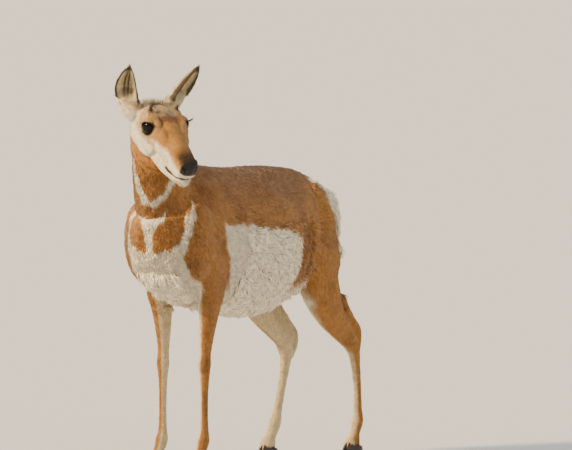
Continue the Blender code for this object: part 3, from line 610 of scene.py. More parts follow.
def core_depth(x, y, z):
    """How far the bare body lies under the tips of its long coat on rump, flank, nape and brisket."""
    wide = np.abs(x)
    rump = ramp(y + 0.35 * (z - 0.72), 0.375, 0.405) * ramp(z, 0.600, 0.635) * ramp(wide, 0.020, 0.034)
    rump *= 1 - ramp(y, 0.500, 0.504)
    flank = ramp(y, -0.125, -0.090) * (1 - ramp(y, 0.215, 0.240)) * (1 - ramp(z - 0.06 * y, 0.680, 0.712))
    nape = (1 - ramp(wide, 0.026, 0.042)) * ramp(z, 0.875, 0.905)
    nape *= ramp(y + 0.65 * (z - 0.90), -0.305, -0.285)
    brisket = (1 - ramp(wide, 0.050, 0.066)) * (1 - ramp(z, 0.575, 0.600)) * (1 - ramp(y, -0.150, -0.125))
    return LONG_COAT * np.maximum.reduce([rump, flank, nape, brisket * ramp(z, 0.468, 0.480)])


LONG_COAT = 0.0105
SHORT_COAT = 0.0016
BODY_COAT = 0.0062


def coat_depth(points):
    """The depth of the coat over the hide: thin on the legs, deepest where it is long."""
    x, y, z = points.T
    legs = 1 - ramp(z, 0.40, 0.60)
    return core_depth(x, y, z) + BODY_COAT + (SHORT_COAT - BODY_COAT) * legs


def as_object(name, shape):
    """A working mesh object made from a bmesh, which is freed."""
    mesh = bpy.data.meshes.new(name)
    shape.to_mesh(mesh)
    shape.free()
    made = bpy.data.objects.new(name, mesh)
    bpy.context.collection.objects.link(made)
    return made


def applied(made):
    """The object's mesh with its modifiers applied, as a bmesh; the object is removed."""
    bpy.context.view_layer.update()
    evaluated = made.evaluated_get(bpy.context.evaluated_depsgraph_get())
    shape = bmesh.new()
    shape.from_mesh(evaluated.to_mesh())
    evaluated.to_mesh_clear()
    bpy.data.objects.remove(made)
    return shape


def fused(pieces, grain, rounds):
    """One closed skin over overlapping pieces, smoothed."""
    whole = bmesh.new()
    for piece in pieces:
        mesh = bpy.data.meshes.new("piece")
        piece.to_mesh(mesh)
        piece.free()
        whole.from_mesh(mesh)
        bpy.data.meshes.remove(mesh)
    made = as_object("whole", whole)
    remesh = made.modifiers.new("remesh", "REMESH")
    remesh.mode = "VOXEL"
    remesh.voxel_size = grain
    smooth = made.modifiers.new("smooth", "SMOOTH")
    smooth.factor = 0.5
    smooth.iterations = rounds
    return applied(made)


def drawn_in(shape, depth):
    """The skin moved inward by a depth read at each of its points."""
    points = np.array([vert.co for vert in shape.verts])
    ways = np.array([vert.normal for vert in shape.verts])
    for vert, place in zip(shape.verts, points - ways * depth(points)[:, None]):
        vert.co = place
    return shape


def thinned(shape, faces):
    """The skin with about so many triangles."""
    share = faces / sum(len(face.verts) - 2 for face in shape.faces)
    made = as_object("thick", shape)
    made.modifiers.new("thin", "DECIMATE").ratio = min(1.0, share)
    return applied(made)


def largest(shape):
    """The shape with only its largest separate body."""
    left = set(shape.verts)
    groups = []
    while left:
        stack = [left.pop()]
        group = set(stack)
        while stack:
            for edge in stack.pop().link_edges:
                for vert in edge.verts:
                    if vert in left:
                        left.discard(vert)
                        group.add(vert)
                        stack.append(vert)
        groups.append(group)
    kept = max(groups, key=len)
    bmesh.ops.delete(shape, geom=[vert for vert in shape.verts if vert not in kept], context="VERTS")
    return shape


def boolean(base, tools_made, operation="DIFFERENCE"):
    """A shape less a list of cutters, or joined with them."""
    bmesh.ops.triangulate(base, faces=base.faces)
    made = as_object("base", base)
    tools = bpy.data.collections.new("tools")
    bpy.context.scene.collection.children.link(tools)
    for cutter in tools_made:
        bmesh.ops.triangulate(cutter, faces=cutter.faces)
        tool = as_object("tool", cutter)
        bpy.context.collection.objects.unlink(tool)
        tools.objects.link(tool)
    change = made.modifiers.new("change", "BOOLEAN")
    change.operation = operation
    change.operand_type = "COLLECTION"
    change.collection = tools
    change.solver = "MANIFOLD"
    shape = applied(made)
    for tool in list(tools.objects):
        bpy.data.objects.remove(tool)
    bpy.data.collections.remove(tools)
    return largest(shape)


def below(shape, place, normal):
    """What lies behind a plane, cut off by a wide box that stands on it."""
    box = bmesh.new()
    bmesh.ops.create_cube(box, size=2.0)
    turn = normal.to_track_quat("Z", "Y").to_matrix().to_4x4()
    bmesh.ops.transform(box, verts=box.verts, matrix=Matrix.Translation(place) @ turn
                        @ Matrix.Translation((0.0, 0.0, 1.0)))
    return boolean(shape, [box])


def eased(shape, near, rounds, factor=0.5):
    """Smooths the points of a shape that `near` picks from all of them."""
    points = np.array([vert.co for vert in shape.verts])
    picked = [vert for vert, take in zip(shape.verts, near(points)) if take]
    for _ in range(rounds):
        bmesh.ops.smooth_vert(shape, verts=picked, factor=factor, use_axis_x=True, use_axis_y=True,
                              use_axis_z=True)
    return shape


def ear(side, start):
    """A cupped ear with a thin edge and thicker root, from `start` along its length to a pointed tip."""
    root, axis, facing, outward = ear_frame(side)
    rings = []
    steps = 26
    arc = 18
    for i in range(steps + 1):
        along = start + (EAR_LENGTH - start) * i / steps
        s = along / EAR_LENGTH
        half = ear_half_width(s)
        deep = ear_depth(s)
        wall = min(EAR_WALL, half * 0.45)
        opened = min(1.0, max(0.0, s / 0.38) ** 1.5)
        inner_deep = (deep - wall) * opened - 0.35 * deep * (1 - opened)
        place = root + axis * along + outward * ear_bow(s)
        ring = []
        for k in range(arc + 1):
            angle = math.pi * (k / arc - 0.5)
            ring.append(place + outward * (half * math.sin(angle)) - facing * (deep * math.cos(angle)))
        for k in range(arc - 1, 0, -1):
            angle = math.pi * (k / arc - 0.5)
            ring.append(place + outward * ((half - wall * 0.7) * math.sin(angle))
                        - facing * (inner_deep * math.cos(angle)))
        rings.append(ring)
    return skin_rings(rings)


def throat_side(points):
    """How far points lie on the head's side of the throat's plane."""
    return (points - np.array(THROAT)) @ np.array(THROAT_WAY)


# The head is built finer than the trunk. Ears are set on its fleshy ear roots, and sockets, nostrils and the
# line of the mouth are cut into it.
head = drawn_in(fused(head_pieces(), HEAD_GRAIN, 12), lambda points: np.full(len(points), HEAD_COAT))
head = below(head, THROAT, -THROAT_WAY)
for side in (1, -1):
    head = boolean(head, [ear(side, -0.010)], "UNION")
seats = [ear_frame(side) for side in (1, -1)]


def by_ear_seats(points):
    near = np.zeros(len(points), bool)
    for root, axis, facing, outward in seats:
        rise = (points - np.array(root)) @ np.array(axis)
        reach = np.linalg.norm(points - np.array(root) - np.outer(rise, np.array(axis)), axis=1)
        near |= (rise > -0.012) & (rise < 0.030) & (reach < 0.055)
    return near


head = eased(head, by_ear_seats, 14)
cutters = [mouth_cutter()]
for side in (1, -1):
    cutters += [lid_opening(side), eyeball(side, EYE_RADIUS + EYELINE, 64), nostril(side)]
head = boolean(head, cutters)


def by_lids_and_lips(points):
    near = np.zeros(len(points), bool)
    for side in (1, -1):
        near |= np.linalg.norm(points - np.array(on_head(*sided(EYE_PLACE, side))), axis=1) < 0.034
        near |= np.linalg.norm(points - np.array(on_head(*sided(NOSTRIL_PLACE, side))), axis=1) < 0.016
    return near


head = eased(head, by_lids_and_lips, 2, 0.35)

# The trunk's end of the neck runs a little way into the head, drawn in there, so that the two fuse cleanly.
body = drawn_in(fused(body_pieces(), BODY_GRAIN, 5), coat_depth)
body = drawn_in(body, lambda points: 0.0020 * ramp(throat_side(points), -0.001, 0.004))
body = below(thinned(body, BODY_FACES), THROAT + THROAT_WAY * 0.010, THROAT_WAY)
hide_shape = boolean(body, [head], "UNION")
hide_shape = eased(hide_shape, lambda points: np.abs(throat_side(points)) < 0.012, 12)
bmesh.ops.triangulate(hide_shape, faces=hide_shape.faces)

# The coat's markings come from places on the animal, so that hide and hair carry the same ones: rufous tan
# above, two white bands on the throat, white chest, flank, belly and rump, a frosted forehead, a dark muzzle
# and pale cheeks.
TAN = "B98244"
BACK_TAN_AND_SHADE = "8C5E34"
HAUNCH_TAN = "C0863E"
DARK_TAN = "7A4E28"
WHITE = "FCF2DC"
CREAM = "F0DBB0"
CROWN_LINE = "4A2410"
FOREHEAD = "B29873"
BROW = "744C2A"
BRIDGE = "BE8C4A"
EYE_TAN = "CBA46E"
MUZZLE = "38220F"
BLACK = "120C09"
TEAT = "4A2E20"

HEAD_FLOOR = 0.80  # nothing of the trunk is above the throat's plane and this height
# Where the markings of the body lie, as height above the floor with the place there: a turn in degrees for
# the upper band and the chest, half a width from the midline for the lower band and the brisket, and a place
# along the body for the flank and the rump.
BAND_MIDLINE = ((0.777, 10), (0.83, 22), (0.88, 30), (0.93, 40), (1.0, 55))
LOWER_BAND = ((0.60, 0.011), (0.68, 0.012), (0.70, 0.022), (0.73, 0.038), (0.745, 0.046))
CHEST_INNER = ((0.630, -20), (0.636, 12), (0.658, 28), (0.717, 37), (0.769, 47))
CHEST_OUTER = ((0.585, 44), (0.60, 38), (0.625, 34), (0.66, 40), (0.70, 45), (0.745, 49.5), (0.775, 50))
BRISKET_HALF = ((0.46, 0.058), (0.50, 0.080), (0.53, 0.094), (0.59, 0.094))
FLANK_FRONT = ((0.47, -0.125), (0.52, -0.140), (0.64, -0.193), (0.71, -0.200))
FLANK_REAR = ((0.48, 0.145), (0.54, 0.125), (0.58, 0.142), (0.65, 0.140), (0.70, 0.120))
RUMP_FRONT = ((0.60, 0.420), (0.63, 0.405), (0.69, 0.385), (0.74, 0.362), (0.785, 0.345))
EYE_GLAND = (0.098, 0.050, -0.014)  # the dark patch before each eye, in the head's frame
# The upper edge of the white cheek: along the head and height in the head's frame.
CHEEK_EDGE = ((0.0, -0.040), (0.09, -0.062), (0.13, -0.045), (0.16, -0.040), (0.20, -0.038), (0.24, -0.045))


def wander(points, size, seed):
    """A smooth random field, about -1 to 1, whose waves are `size` metres long."""
    draw = np.random.default_rng(seed)
    total = np.zeros(len(points))
    for _ in range(7):
        way = draw.normal(size=3)
        way *= 2 * math.pi / (np.linalg.norm(way) * size * draw.uniform(0.6, 1.5))
        total += np.sin(points @ way + draw.uniform(0, 2 * math.pi))
    return total / 2.6


def between(value, low, high, soft):
    """1 between two edges and 0 beyond them, each edge `soft` wide."""
    return ramp(value, low - soft / 2, low + soft / 2) * (1 - ramp(value, high - soft / 2, high + soft / 2))


def on_ear(points, side):
    """Places on an ear, along, across and through it, as shares of its length, width and depth."""
    root, axis, facing, outward = ear_frame(side)
    reach = points - np.array(root)
    s = reach @ np.array(axis) / EAR_LENGTH
    inside = np.clip(s, 0.0, 1.0)
    half = np.maximum(ear_half_width(inside), 0.002)
    across = (reach @ np.array(outward) - ear_bow(inside)) / half
    return s, across, -(reach @ np.array(facing)) / ear_depth(inside)


def ear_share(points, side):
    """1 on an ear above its root, 0 elsewhere."""
    s, across, through = on_ear(points, side)
    return ramp(s, 0.06, 0.16) * (s < 1.06) * (np.abs(across) < 1.6) * (np.abs(through) < 1.7)


def head_places(points):
    """Places in the head's frame: along the nose, to its left and up from the forehead."""
    return ((points - np.array(CROWN)) @ np.array(HEAD_AXES)).T


def neck_turn(points):
    """The turn about the neck in degrees, from its front to her left."""
    x, y, z = points.T
    rows = np.array(NECK)
    middle_x = np.interp(z, rows[:, 2], rows[:, 0])
    middle_y = np.interp(z, rows[:, 2], rows[:, 1])
    return np.degrees(np.arctan2(x - middle_x, middle_y - y))


def head_share(points, soft=0.004):
    """1 on the head, above the throat's plane, and 0 on the rest."""
    return ramp(throat_side(points), -soft, soft) * (points[:, 2] > HEAD_FLOOR)


def mouth_height(along):
    """The height of the mouth's line in the head's frame."""
    return np.interp(along, *np.array(MOUTH).T)


def painted(colours, colour, share):
    """Colours with a share of one colour laid over them."""
    return colours + (np.array(linear(colour)[:3]) - colours) * np.clip(share, 0.0, 1.0)[:, None]


def body_colours(points, normals):
    """The colours of neck, trunk, legs and tail."""
    ragged = np.stack([wander(points, 0.030, seed) for seed in (1, 2, 3)], axis=1) * 0.0035
    x, y, z = (points + ragged).T
    wide = np.abs(x)
    inward = -np.sign(x) * normals[:, 0]
    colours = np.tile(np.array(linear(TAN)[:3]), (len(points), 1))
    # The back is painted darker where it faces up: partly its browner hair, partly painted shade of the shadow
    # cast across it.
    colours = painted(colours, BACK_TAN_AND_SHADE, ramp(normals[:, 2], 0.2, 0.9) * ramp(z, 0.70, 0.80) * 0.8)
    colours = painted(colours, HAUNCH_TAN, ramp(y, 0.16, 0.30) * (1 - ramp(z, 0.76, 0.84)))
    # Painted shade darkens the fold between the flank's white and the front of the thigh.
    colours = painted(colours, DARK_TAN, 0.6 * between(y, 0.13, 0.24, 0.05) * between(z, 0.52, 0.68, 0.06))
    colours = painted(colours, DARK_TAN, 0.38 * ramp(wander(points, 0.090, 7), 0.0, 1.2))
    colours = painted(colours, CREAM, 0.07 * ramp(wander(points, 0.018, 8), 0.0, 1.0))
    low = 1 - ramp(z, 0.46, 0.52)
    colours = painted(colours, CREAM, low * ramp(inward, 0.05, 0.45))
    hind_front = ramp(-normals[:, 1], 0.35, 0.75) * (y > 0.25) * (1 - ramp(z, 0.40, 0.46))
    colours = painted(colours, CREAM, hind_front * 0.8)
    hind_rear = ramp(normals[:, 1], 0.35, 0.8) * (y > 0.30) * (1 - ramp(z, 0.50, 0.60))
    colours = painted(colours, DARK_TAN, hind_rear)
    # The upper band rises to both sides of a midline that turns with the neck. The lower one widens upward.
    far = np.abs(neck_turn(points + ragged) - np.interp(z, *np.array(BAND_MIDLINE).T))
    top = 0.778 + 0.0016 * far + 0.0000085 * far ** 2
    deep = 0.015 + 0.018 * ramp(far, 0, 25)
    on_neck = (y < -0.24) & (z > 0.74)
    upper_band = between(z, top - deep, top, 0.006) * (1 - ramp(z, 0.885, 0.915)) * on_neck
    across = x - 0.006
    half = np.interp(z, *np.array(LOWER_BAND).T)
    lower_band = (1 - ramp(np.abs(across) - half, -0.003, 0.003)) * (normals[:, 1] < 0.2) * (y < -0.28)
    lower_band *= (1 - ramp(z - (0.732 + 0.018 * (across / 0.046) ** 2), -0.003, 0.003)) * (z > 0.60)
    # The chest's white runs up in a band on each side, measured as a turn about an upright line in the chest.
    turn = np.abs(np.degrees(np.arctan2(x, -(y + 0.25))) - 5)
    inner, outer = (np.interp(z, *np.array(rows).T) for rows in (CHEST_INNER, CHEST_OUTER))
    chest = between(turn, inner, outer, 3.0) * (z < 0.776) * (y < -0.20)
    limit = np.interp(z, *np.array(BRISKET_HALF).T)
    brisket = (1 - ramp(z, 0.575, 0.595)) * (1 - ramp(wide - limit, -0.006, 0.006))
    brisket *= ramp(z, 0.46, 0.50) * (y < -0.12)
    # The flank's white lies between the shoulder and the thigh, up to a line that falls towards the rear.
    front, rear = (np.interp(z, *np.array(rows).T) for rows in (FLANK_FRONT, FLANK_REAR))
    uneven = 0.006 * wander(points, 0.150, 12)
    flank = between(y, front + uneven * 0.6, rear + uneven, 0.012)
    flank *= 1 - ramp(z - (0.716 - 0.13 * (y + 0.21) + uneven), -0.006, 0.006)
    belly = ramp(-normals[:, 2], 0.25, 0.6) * between(y, -0.20, 0.30, 0.03) * (1 - ramp(z, 0.50, 0.56))
    belly *= ramp(z, 0.40, 0.44)
    rump = ramp(y - np.interp(z, *np.array(RUMP_FRONT).T), -0.006, 0.006)
    rump *= ramp(z, 0.592, 0.606) * (1 - ramp(z, 0.80, 0.83))
    rump *= ramp(wide, 0.010, 0.016) + (1 - ramp(z, 0.60, 0.66))
    for white in (upper_band, lower_band, chest, brisket, flank, belly, rump):
        colours = painted(colours, WHITE, white)
    tail = (y > 0.505) & (wide < 0.040) & (z > 0.655)
    colours = painted(colours, TAN, tail * (1 - ramp(wide, 0.005, 0.012)) * ramp(normals[:, 1], 0.0, 0.4))
    teats = (1 - ramp(z, 0.484, 0.494)) * between(y, 0.205, 0.268, 0.006) * (wide < 0.045) * (z > 0.46)
    colours = painted(colours, TEAT, teats)
    mane = (1 - ramp(wide, 0.018, 0.034)) * ramp(z, 0.86, 0.90) * ramp(y + 0.65 * (z - 0.90), -0.315, -0.295)
    return painted(colours, DARK_TAN, mane * 0.9)


def head_colours(points, normals):
    """The colours of the head without its ears."""
    ragged = np.stack([wander(points, 0.016, seed) for seed in (4, 5, 6)], axis=1) * 0.0018
    along, left, up = head_places(points + ragged)
    wide = np.abs(left)
    colours = np.tile(np.array(linear(BRIDGE)[:3]), (len(points), 1))
    top = ramp(up, -0.035, -0.018)
    forehead = between(along, 0.018, 0.084, 0.012) * (1 - ramp(wide, 0.034, 0.046)) * top
    colours = painted(colours, FOREHEAD, forehead)
    brow = between(along, 0.080, 0.104, 0.012) * (1 - ramp(wide, 0.028, 0.040)) * top
    colours = painted(colours, BROW, 0.8 * brow)
    line = 0.012 + 0.040 * (wide / 0.045) ** 2
    colours = painted(colours, CREAM, (1 - ramp(along - line, -0.006, 0.0)) * 0.85)
    colours = painted(colours, CROWN_LINE, between(along - line, -0.002, 0.008, 0.004) * (wide < 0.052) * top)
    colours = painted(colours, BROW, 0.45 * ramp(wander(points, 0.020, 11), 0.1, 1.2) * (along < 0.11))
    cheek = 1 - ramp(up - np.interp(along, *np.array(CHEEK_EDGE).T), -0.009, 0.010)
    cheek *= ramp(along, 0.010, 0.030)
    colours = painted(colours, WHITE, cheek * 0.92)
    ear_patch = between(along, -0.020, 0.050, 0.014) * between(up, -0.105, -0.040, 0.014)
    colours = painted(colours, WHITE, ear_patch * 0.85)
    near_eye = between(along, 0.030, 0.130, 0.030) * between(up, -0.072, -0.006, 0.024)
    near_eye *= ramp(wide, 0.030, 0.044)
    colours = painted(colours, EYE_TAN, near_eye * 0.8)
    throat = (1 - ramp(up, -0.122, -0.112)) * (1 - ramp(along, 0.150, 0.175))
    colours = painted(colours, TAN, throat)
    back = (1 - ramp(along, -0.012, 0.004)) * (up < -0.02)
    colours = painted(colours, TAN, back * 0.6 * (1 - ramp(up, -0.09, -0.05)))
    colours = painted(colours, MUZZLE, ramp(along, 0.190, 0.240) * ramp(up, -0.036, -0.016) * 0.95)
    colours = painted(colours, WHITE, ramp(along, 0.196, 0.210) * (1 - ramp(up, -0.058, -0.050)))
    return colours


def by_eye(points, side):
    """Places by an eye: how far out, how far off, and along and across its opening in half sizes."""
    middle, gaze, along, up = (np.array(way) for way in lid_frame(side))
    reach = points - middle
    return (reach @ gaze, np.linalg.norm(reach, axis=1), reach @ along / (LID_LENGTH / 2),
            np.abs(reach @ up) / (LID_HEIGHT / 2))


def lid_share(points, side):
    """How far points lie from the middle of an eye's opening: 1 at its edge, more outside, 9 far from it."""
    out, near, along, across = by_eye(points, side)
    flattened = np.maximum(1 - LID_TAPER * np.clip(along, -1, 1) ** 2, 0.5)
    return np.where((out > 0) & (near < 0.045), np.hypot(along, across / flattened), 9.0)


def rear_corner(points, side):
    """1 on the dark streak that runs back from the rear corner of an eye."""
    out, near, along, across = by_eye(points, side)
    streak = (1 - ramp(across - 0.34 * (1.65 + along), -0.08, 0.08)) * between(along, -1.65, -0.70, 0.1)
    return streak * (out > -0.02) * (near < 0.055)


def bareness(points):
    """1 on the bare skin of nose and eye rims, 0 where hair grows."""
    along, left, up = head_places(points)
    wide = np.abs(left)
    nose = ramp(along + 0.15 * (up + 0.035), 0.257, 0.263) * ramp(up, -0.054, -0.047)
    bare = nose * (wide < 0.05)
    for side in (1, -1):
        bare = np.maximum(bare, 1 - ramp(lid_share(points, side), 1.10, 1.18))
    return bare


def coat_colours(points, normals):
    """The colour of the coat at each place, in linear red, green and blue."""
    on_top = head_share(points)
    body_part = body_colours(points, normals)
    colours = body_part + (head_colours(points, normals) - body_part) * on_top[:, None]
    along, left, up = head_places(points)
    under_mouth = mouth_height(along) - up
    lips = (1 - ramp(np.abs(under_mouth), 0.0024, 0.0056)) * ramp(along, 0.186, 0.196)
    lips *= np.abs(left) < 0.06
    chin = between(along, 0.205, 0.275, 0.020) * ramp(under_mouth, 0.006, 0.016)
    colours = painted(colours, FOREHEAD, chin * 0.6 * (on_top > 0.5))
    colours = painted(colours, BLACK, lips * 0.95 * (on_top > 0.5))
    for side in (1, -1):
        rim = np.maximum(1 - ramp(lid_share(points, side), 1.12, 1.34), rear_corner(points, side))
        from_gland = np.linalg.norm(points - np.array(on_head(*sided(EYE_GLAND, side))), axis=1)
        colours = painted(colours, BLACK, np.maximum(rim, 1 - ramp(from_gland, 0.005, 0.009)) * 0.95)
        share = ear_share(points, side) * on_top
        s, across, through = on_ear(points, side)
        ellipse = np.hypot(across, through)
        inner = (ellipse < 0.93) | (through < 0.02)
        streaks = (1 - ramp(np.abs(across + 0.05), 0.26, 0.62)) * between(s, 0.26, 0.86, 0.18)
        streaks *= 0.68 + 0.32 * np.sin(across * 17 + s * 9)
        ear_tone = np.tile(np.array(linear(CREAM)[:3]), (len(points), 1))
        ear_tone = painted(ear_tone, TAN, 0.45 * ramp(s, 0.2, 0.7) * ~inner)
        ear_tone = painted(ear_tone, MUZZLE, inner * streaks * 0.95)
        rim = np.maximum(ramp(np.abs(across), 0.78, 0.92) * 0.95, ramp(s, 0.80, 0.92))
        ear_tone = painted(ear_tone, BLACK, rim * 0.9)
        colours = colours + (ear_tone - colours) * share[:, None]
    return painted(colours, BLACK, bareness(points) * on_top)


def shade_points(mesh, colours):
    """Writes linear colours to the points of a mesh, for its material to read."""
    layer = mesh.attributes.new("coat_colour", "FLOAT_COLOR", "POINT")
    opaque = np.column_stack([colours, np.ones(len(colours))])
    layer.data.foreach_set("color", opaque.astype(np.float32).ravel())


# The hide carries dense short underfur, matt and mottled in strands about 2.4 mm wide, as coarse as they need
# to be to show. The bare skin of nose and lids is finely pored and has a dull moist gleam.
STRANDS = 420.0  # to a metre
PORES = 650.0  # to a metre, one about every 1.5 mm
hide_material, tree, shader = new_material("short_haired_hide")
hair_colour = add(tree, "ShaderNodeAttribute", {"attribute_name": "coat_colour"})
bare_skin = add(tree, "ShaderNodeAttribute", {"attribute_name": "bare_skin"})
place = add(tree, "ShaderNodeTexCoord")
strands = add(tree, "ShaderNodeTexNoise", values={"Scale": STRANDS, "Detail": 3.0, "Roughness": 0.6},
              links={"Vector": place.outputs["Object"]})
mottle = add(tree, "ShaderNodeMapRange", links={"Value": strands.outputs["Fac"]},
             values={"From Min": 0.3, "From Max": 0.7, "To Min": 0.62, "To Max": 1.05})
tone = add(tree, "ShaderNodeMix", {"data_type": "RGBA", "blend_type": "MULTIPLY"}, {"Factor": 1.0},
           {"A": hair_colour.outputs["Color"], "B": mottle.outputs["Result"]})
gloss = add(tree, "ShaderNodeMapRange", values={"To Min": 0.88, "To Max": 0.46},
            links={"Value": bare_skin.outputs["Fac"]})
pores = add(tree, "ShaderNodeTexVoronoi", values={"Scale": PORES},
            links={"Vector": place.outputs["Object"]})
relief = add(tree, "ShaderNodeBump", values={"Strength": 0.5, "Distance": 0.0006},
             links={"Height": strands.outputs["Fac"]})
grained = add(tree, "ShaderNodeBump", values={"Strength": 0.35, "Distance": 0.0004},
              links={"Height": pores.outputs["Distance"], "Normal": relief.outputs["Normal"]})
for socket, source in (("Base Color", tone.outputs["Result"]), ("Roughness", gloss.outputs["Result"]),
                       ("Normal", grained.outputs["Normal"])):
    tree.links.new(source, shader.inputs[socket])
shader.inputs["Specular IOR Level"].default_value = 0.35

hide_shape.normal_update()
hide_points = np.array([vert.co for vert in hide_shape.verts])
hide_ways = np.array([vert.normal for vert in hide_shape.verts])
hide_faces = np.array([[vert.index for vert in face.verts] for face in hide_shape.faces])
hide = mesh_object("hide", hide_shape, hide_material)
shade_points(hide.data, coat_colours(hide_points, hide_ways) * 0.80)
bare_layer = hide.data.attributes.new("bare_skin", "FLOAT", "POINT")
bare_layer.data.foreach_set("value", bareness(hide_points).astype(np.float32))
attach(hide, "root")
flesh = [name for name in frame["nodes"] if not name.startswith(("eye", "horn")) and "claw" not in name]
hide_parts(*flesh)

# The coat is solid tufts of hair rooted in the hide. Each lies along the coat's lie, with its tip as high as
# the coat is deep: short and fine on face and legs, long and clumped on flank, rump, brisket and nape.
SHORT_TUFT = ((0, 1, 2), (0, 2, 3), (1, 3, 2), (0, 3, 1))
LONG_TUFT = ((0, 1, 2), (0, 2, 5), (0, 5, 3), (1, 4, 5), (1, 5, 2), (0, 3, 4), (0, 4, 1), (3, 5, 6),
             (4, 6, 5), (3, 6, 4))
TUFT_PATCH = 0.003 / 2  # half the width of a tuft's patch on the unwrap
ROOT_DEPTH = 0.0012


def weighted(ways, way, share):
    """Directions pulled towards one way by a share for each place."""
    return ways + (np.asarray(way) - ways) * np.clip(share, 0.0, 1.0)[:, None]


def unit(ways):
    return ways / np.maximum(np.linalg.norm(ways, axis=1), 1e-9)[:, None]


def lie(points, normals):
    """The way the hair lies at each place, along the skin."""
    x, y, z = points.T
    side = np.sign(x)
    count = len(points)
    ways = np.tile(np.array((0.0, 0.88, -0.42)), (count, 1))
    ways = weighted(ways, (0.0, 0.66, -0.72), (1 - ramp(z, 0.56, 0.74)) * ramp(y, -0.20, -0.05))
    ways = weighted(ways, (0.0, 0.50, -0.86), ramp(-y, 0.12, 0.22))
    ways = weighted(ways, (0.0, 0.34, -0.94), ramp(z, 0.70, 0.80) * ramp(-y, 0.20, 0.28))
    ways = weighted(ways, (0.0, 1.0, -0.12), ramp(-normals[:, 2], 0.4, 0.8) * between(y, -0.30, 0.30, 0.05))
    rear = np.column_stack([side * 0.42, np.full(count, 0.30), np.full(count, -0.86)])
    ways = weighted(ways, rear, ramp(y, 0.34, 0.42))
    thigh = (y > 0.26) * (1 - ramp(z, 0.52, 0.62))
    ways = weighted(ways, (0.0, 0.10, -0.99), 1 - ramp(z, 0.42, 0.52) * (1 - thigh))
    on_top = head_share(points, 0.010)
    backward = -np.array(HEAD_AXES.col[0]) - 0.15 * np.array(HEAD_AXES.col[2])
    ways = weighted(ways, backward, on_top)
    for ear_side in (1, -1):
        share = ear_share(points, ear_side) * on_top
        ways = weighted(ways, np.array(ear_frame(ear_side)[1]), share * 1.5)
    ways -= normals * np.sum(ways * normals, axis=1)[:, None]
    return unit(ways)


def unwrap(along, across, up):
    """A cylinder unwrap: the place along an axis and the turn about it, each from 0 to 1."""
    spread = max(along.max() - along.min(), 1e-6)
    return np.column_stack([0.02 + 0.96 * (along - along.min()) / spread,
                            0.5 + 0.96 * np.arctan2(across, up) / (2 * math.pi)])


def trunk_places(points):
    x, y, z = points.T
    return y, x, z - 0.66


def path_places(rows):
    """Places about a path of rows that runs up and down, such as a leg or the neck."""
    rows = np.array(sorted(rows, key=lambda row: row[2]))

    def places(points):
        x, y, z = points.T
        return z, np.abs(x) - np.interp(z, rows[:, 2], rows[:, 0]), y - np.interp(z, rows[:, 2], rows[:, 1])
    return places


def neck_round(points):
    x, y, z = points.T
    rows = np.array(NECK)
    return z, x - np.interp(z, rows[:, 2], rows[:, 0]), np.interp(z, rows[:, 2], rows[:, 1]) - y


def head_round(points):
    along, left, up = head_places(points)
    return along, left, up + 0.062


def ear_round(side):
    """Places about the middle of an ear's cup, so that its inside and its back lie apart."""
    def places(points):
        s, across, through = on_ear(points, side)
        return s, across, np.where(np.hypot(across, through) < 0.93, -0.5, 0.5) * (1.2 - np.abs(across))
    return places


def tufts(name, material, roots, normals, ways, sizes, colours, flat, seed, long=False):
    """One piece of coat: closed tufts at `roots`; `sizes` holds each one's length, width, height and curl."""
    draw = np.random.default_rng(seed)
    length, width, height, curl = (size[:, None] for size in sizes)
    across = np.cross(normals, ways)
    base = roots - normals * ROOT_DEPTH
    thick = np.maximum(width * 0.30, 0.0003)
    if long:
        bend = across * curl * length
        middle = base + ways * length * 0.50 + normals * (height * 0.85 + ROOT_DEPTH) + bend * 0.6
        corners = [base + across * width * 0.40, base - across * width * 0.40,
                   base + normals * thick * 2.0,
                   middle + across * width * 0.50, middle - across * width * 0.50,
                   middle + normals * thick * 1.6,
                   base + ways * length + normals * (height * 0.95 + ROOT_DEPTH) - bend * 0.2]
        pattern = np.array(LONG_TUFT)
        root_shade = np.array((0.50, 0.50, 0.55, 0.88, 0.88, 1.0, 1.10))
        patch = np.array(((-1, -1), (1, -1), (0, -0.6), (-1, 0.2), (1, 0.2), (0, 0.4), (0, 1)), dtype=float)
    else:
        corners = [base + across * width * 0.5, base - across * width * 0.5,
                   base + ways * length * 0.40 + normals * (height * 0.62 + thick + ROOT_DEPTH)
                   + across * curl * length * 0.3,
                   base + ways * length + normals * (height + ROOT_DEPTH) - across * curl * length * 0.3]
        pattern = np.array(SHORT_TUFT)
        root_shade = np.array((0.58, 0.58, 0.95, 1.10))
        patch = np.array(((-1, -1), (1, -1), (0, 0.2), (0, 1)), dtype=float)
    count = len(roots)
    each = len(corners)
    points = np.stack(corners, axis=1).reshape(-1, 3) + np.array(SET_DOWN)
    faces = (pattern[None] + (np.arange(count) * each)[:, None, None]).reshape(-1)
    mesh = bpy.data.meshes.new(name)
    mesh.vertices.add(len(points))
    mesh.vertices.foreach_set("co", points.astype(np.float32).ravel())
    mesh.loops.add(len(faces))
    mesh.loops.foreach_set("vertex_index", faces.astype(np.int32))
    mesh.polygons.add(len(faces) // 3)
    mesh.polygons.foreach_set("loop_start", np.arange(0, len(faces), 3, dtype=np.int32))
    mesh.update(calc_edges=True)
    # Each tuft is painted darker at its root and lighter at its tip, as painted shade deep in the coat, and
    # its tone varies at random from tuft to tuft.
    shade_points(mesh, (colours[:, None, :] * root_shade[None, :, None]
                        * draw.uniform(0.86, 1.10, (count, 1, 1))).reshape(-1, 3))
    spots = (flat[:, None, :] + patch[None] * TUFT_PATCH).reshape(-1, 2)
    layer = mesh.uv_layers.new(name="OFBake")
    layer.data.foreach_set("uv", np.clip(spots[faces], 0.0, 1.0).astype(np.float32).ravel())
    mesh.materials.append(material)
    mesh.shade_smooth()
    piece = bpy.data.objects.new(name, mesh)
    bpy.context.scene.collection.objects.link(piece)
    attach(piece, "root")
    return piece


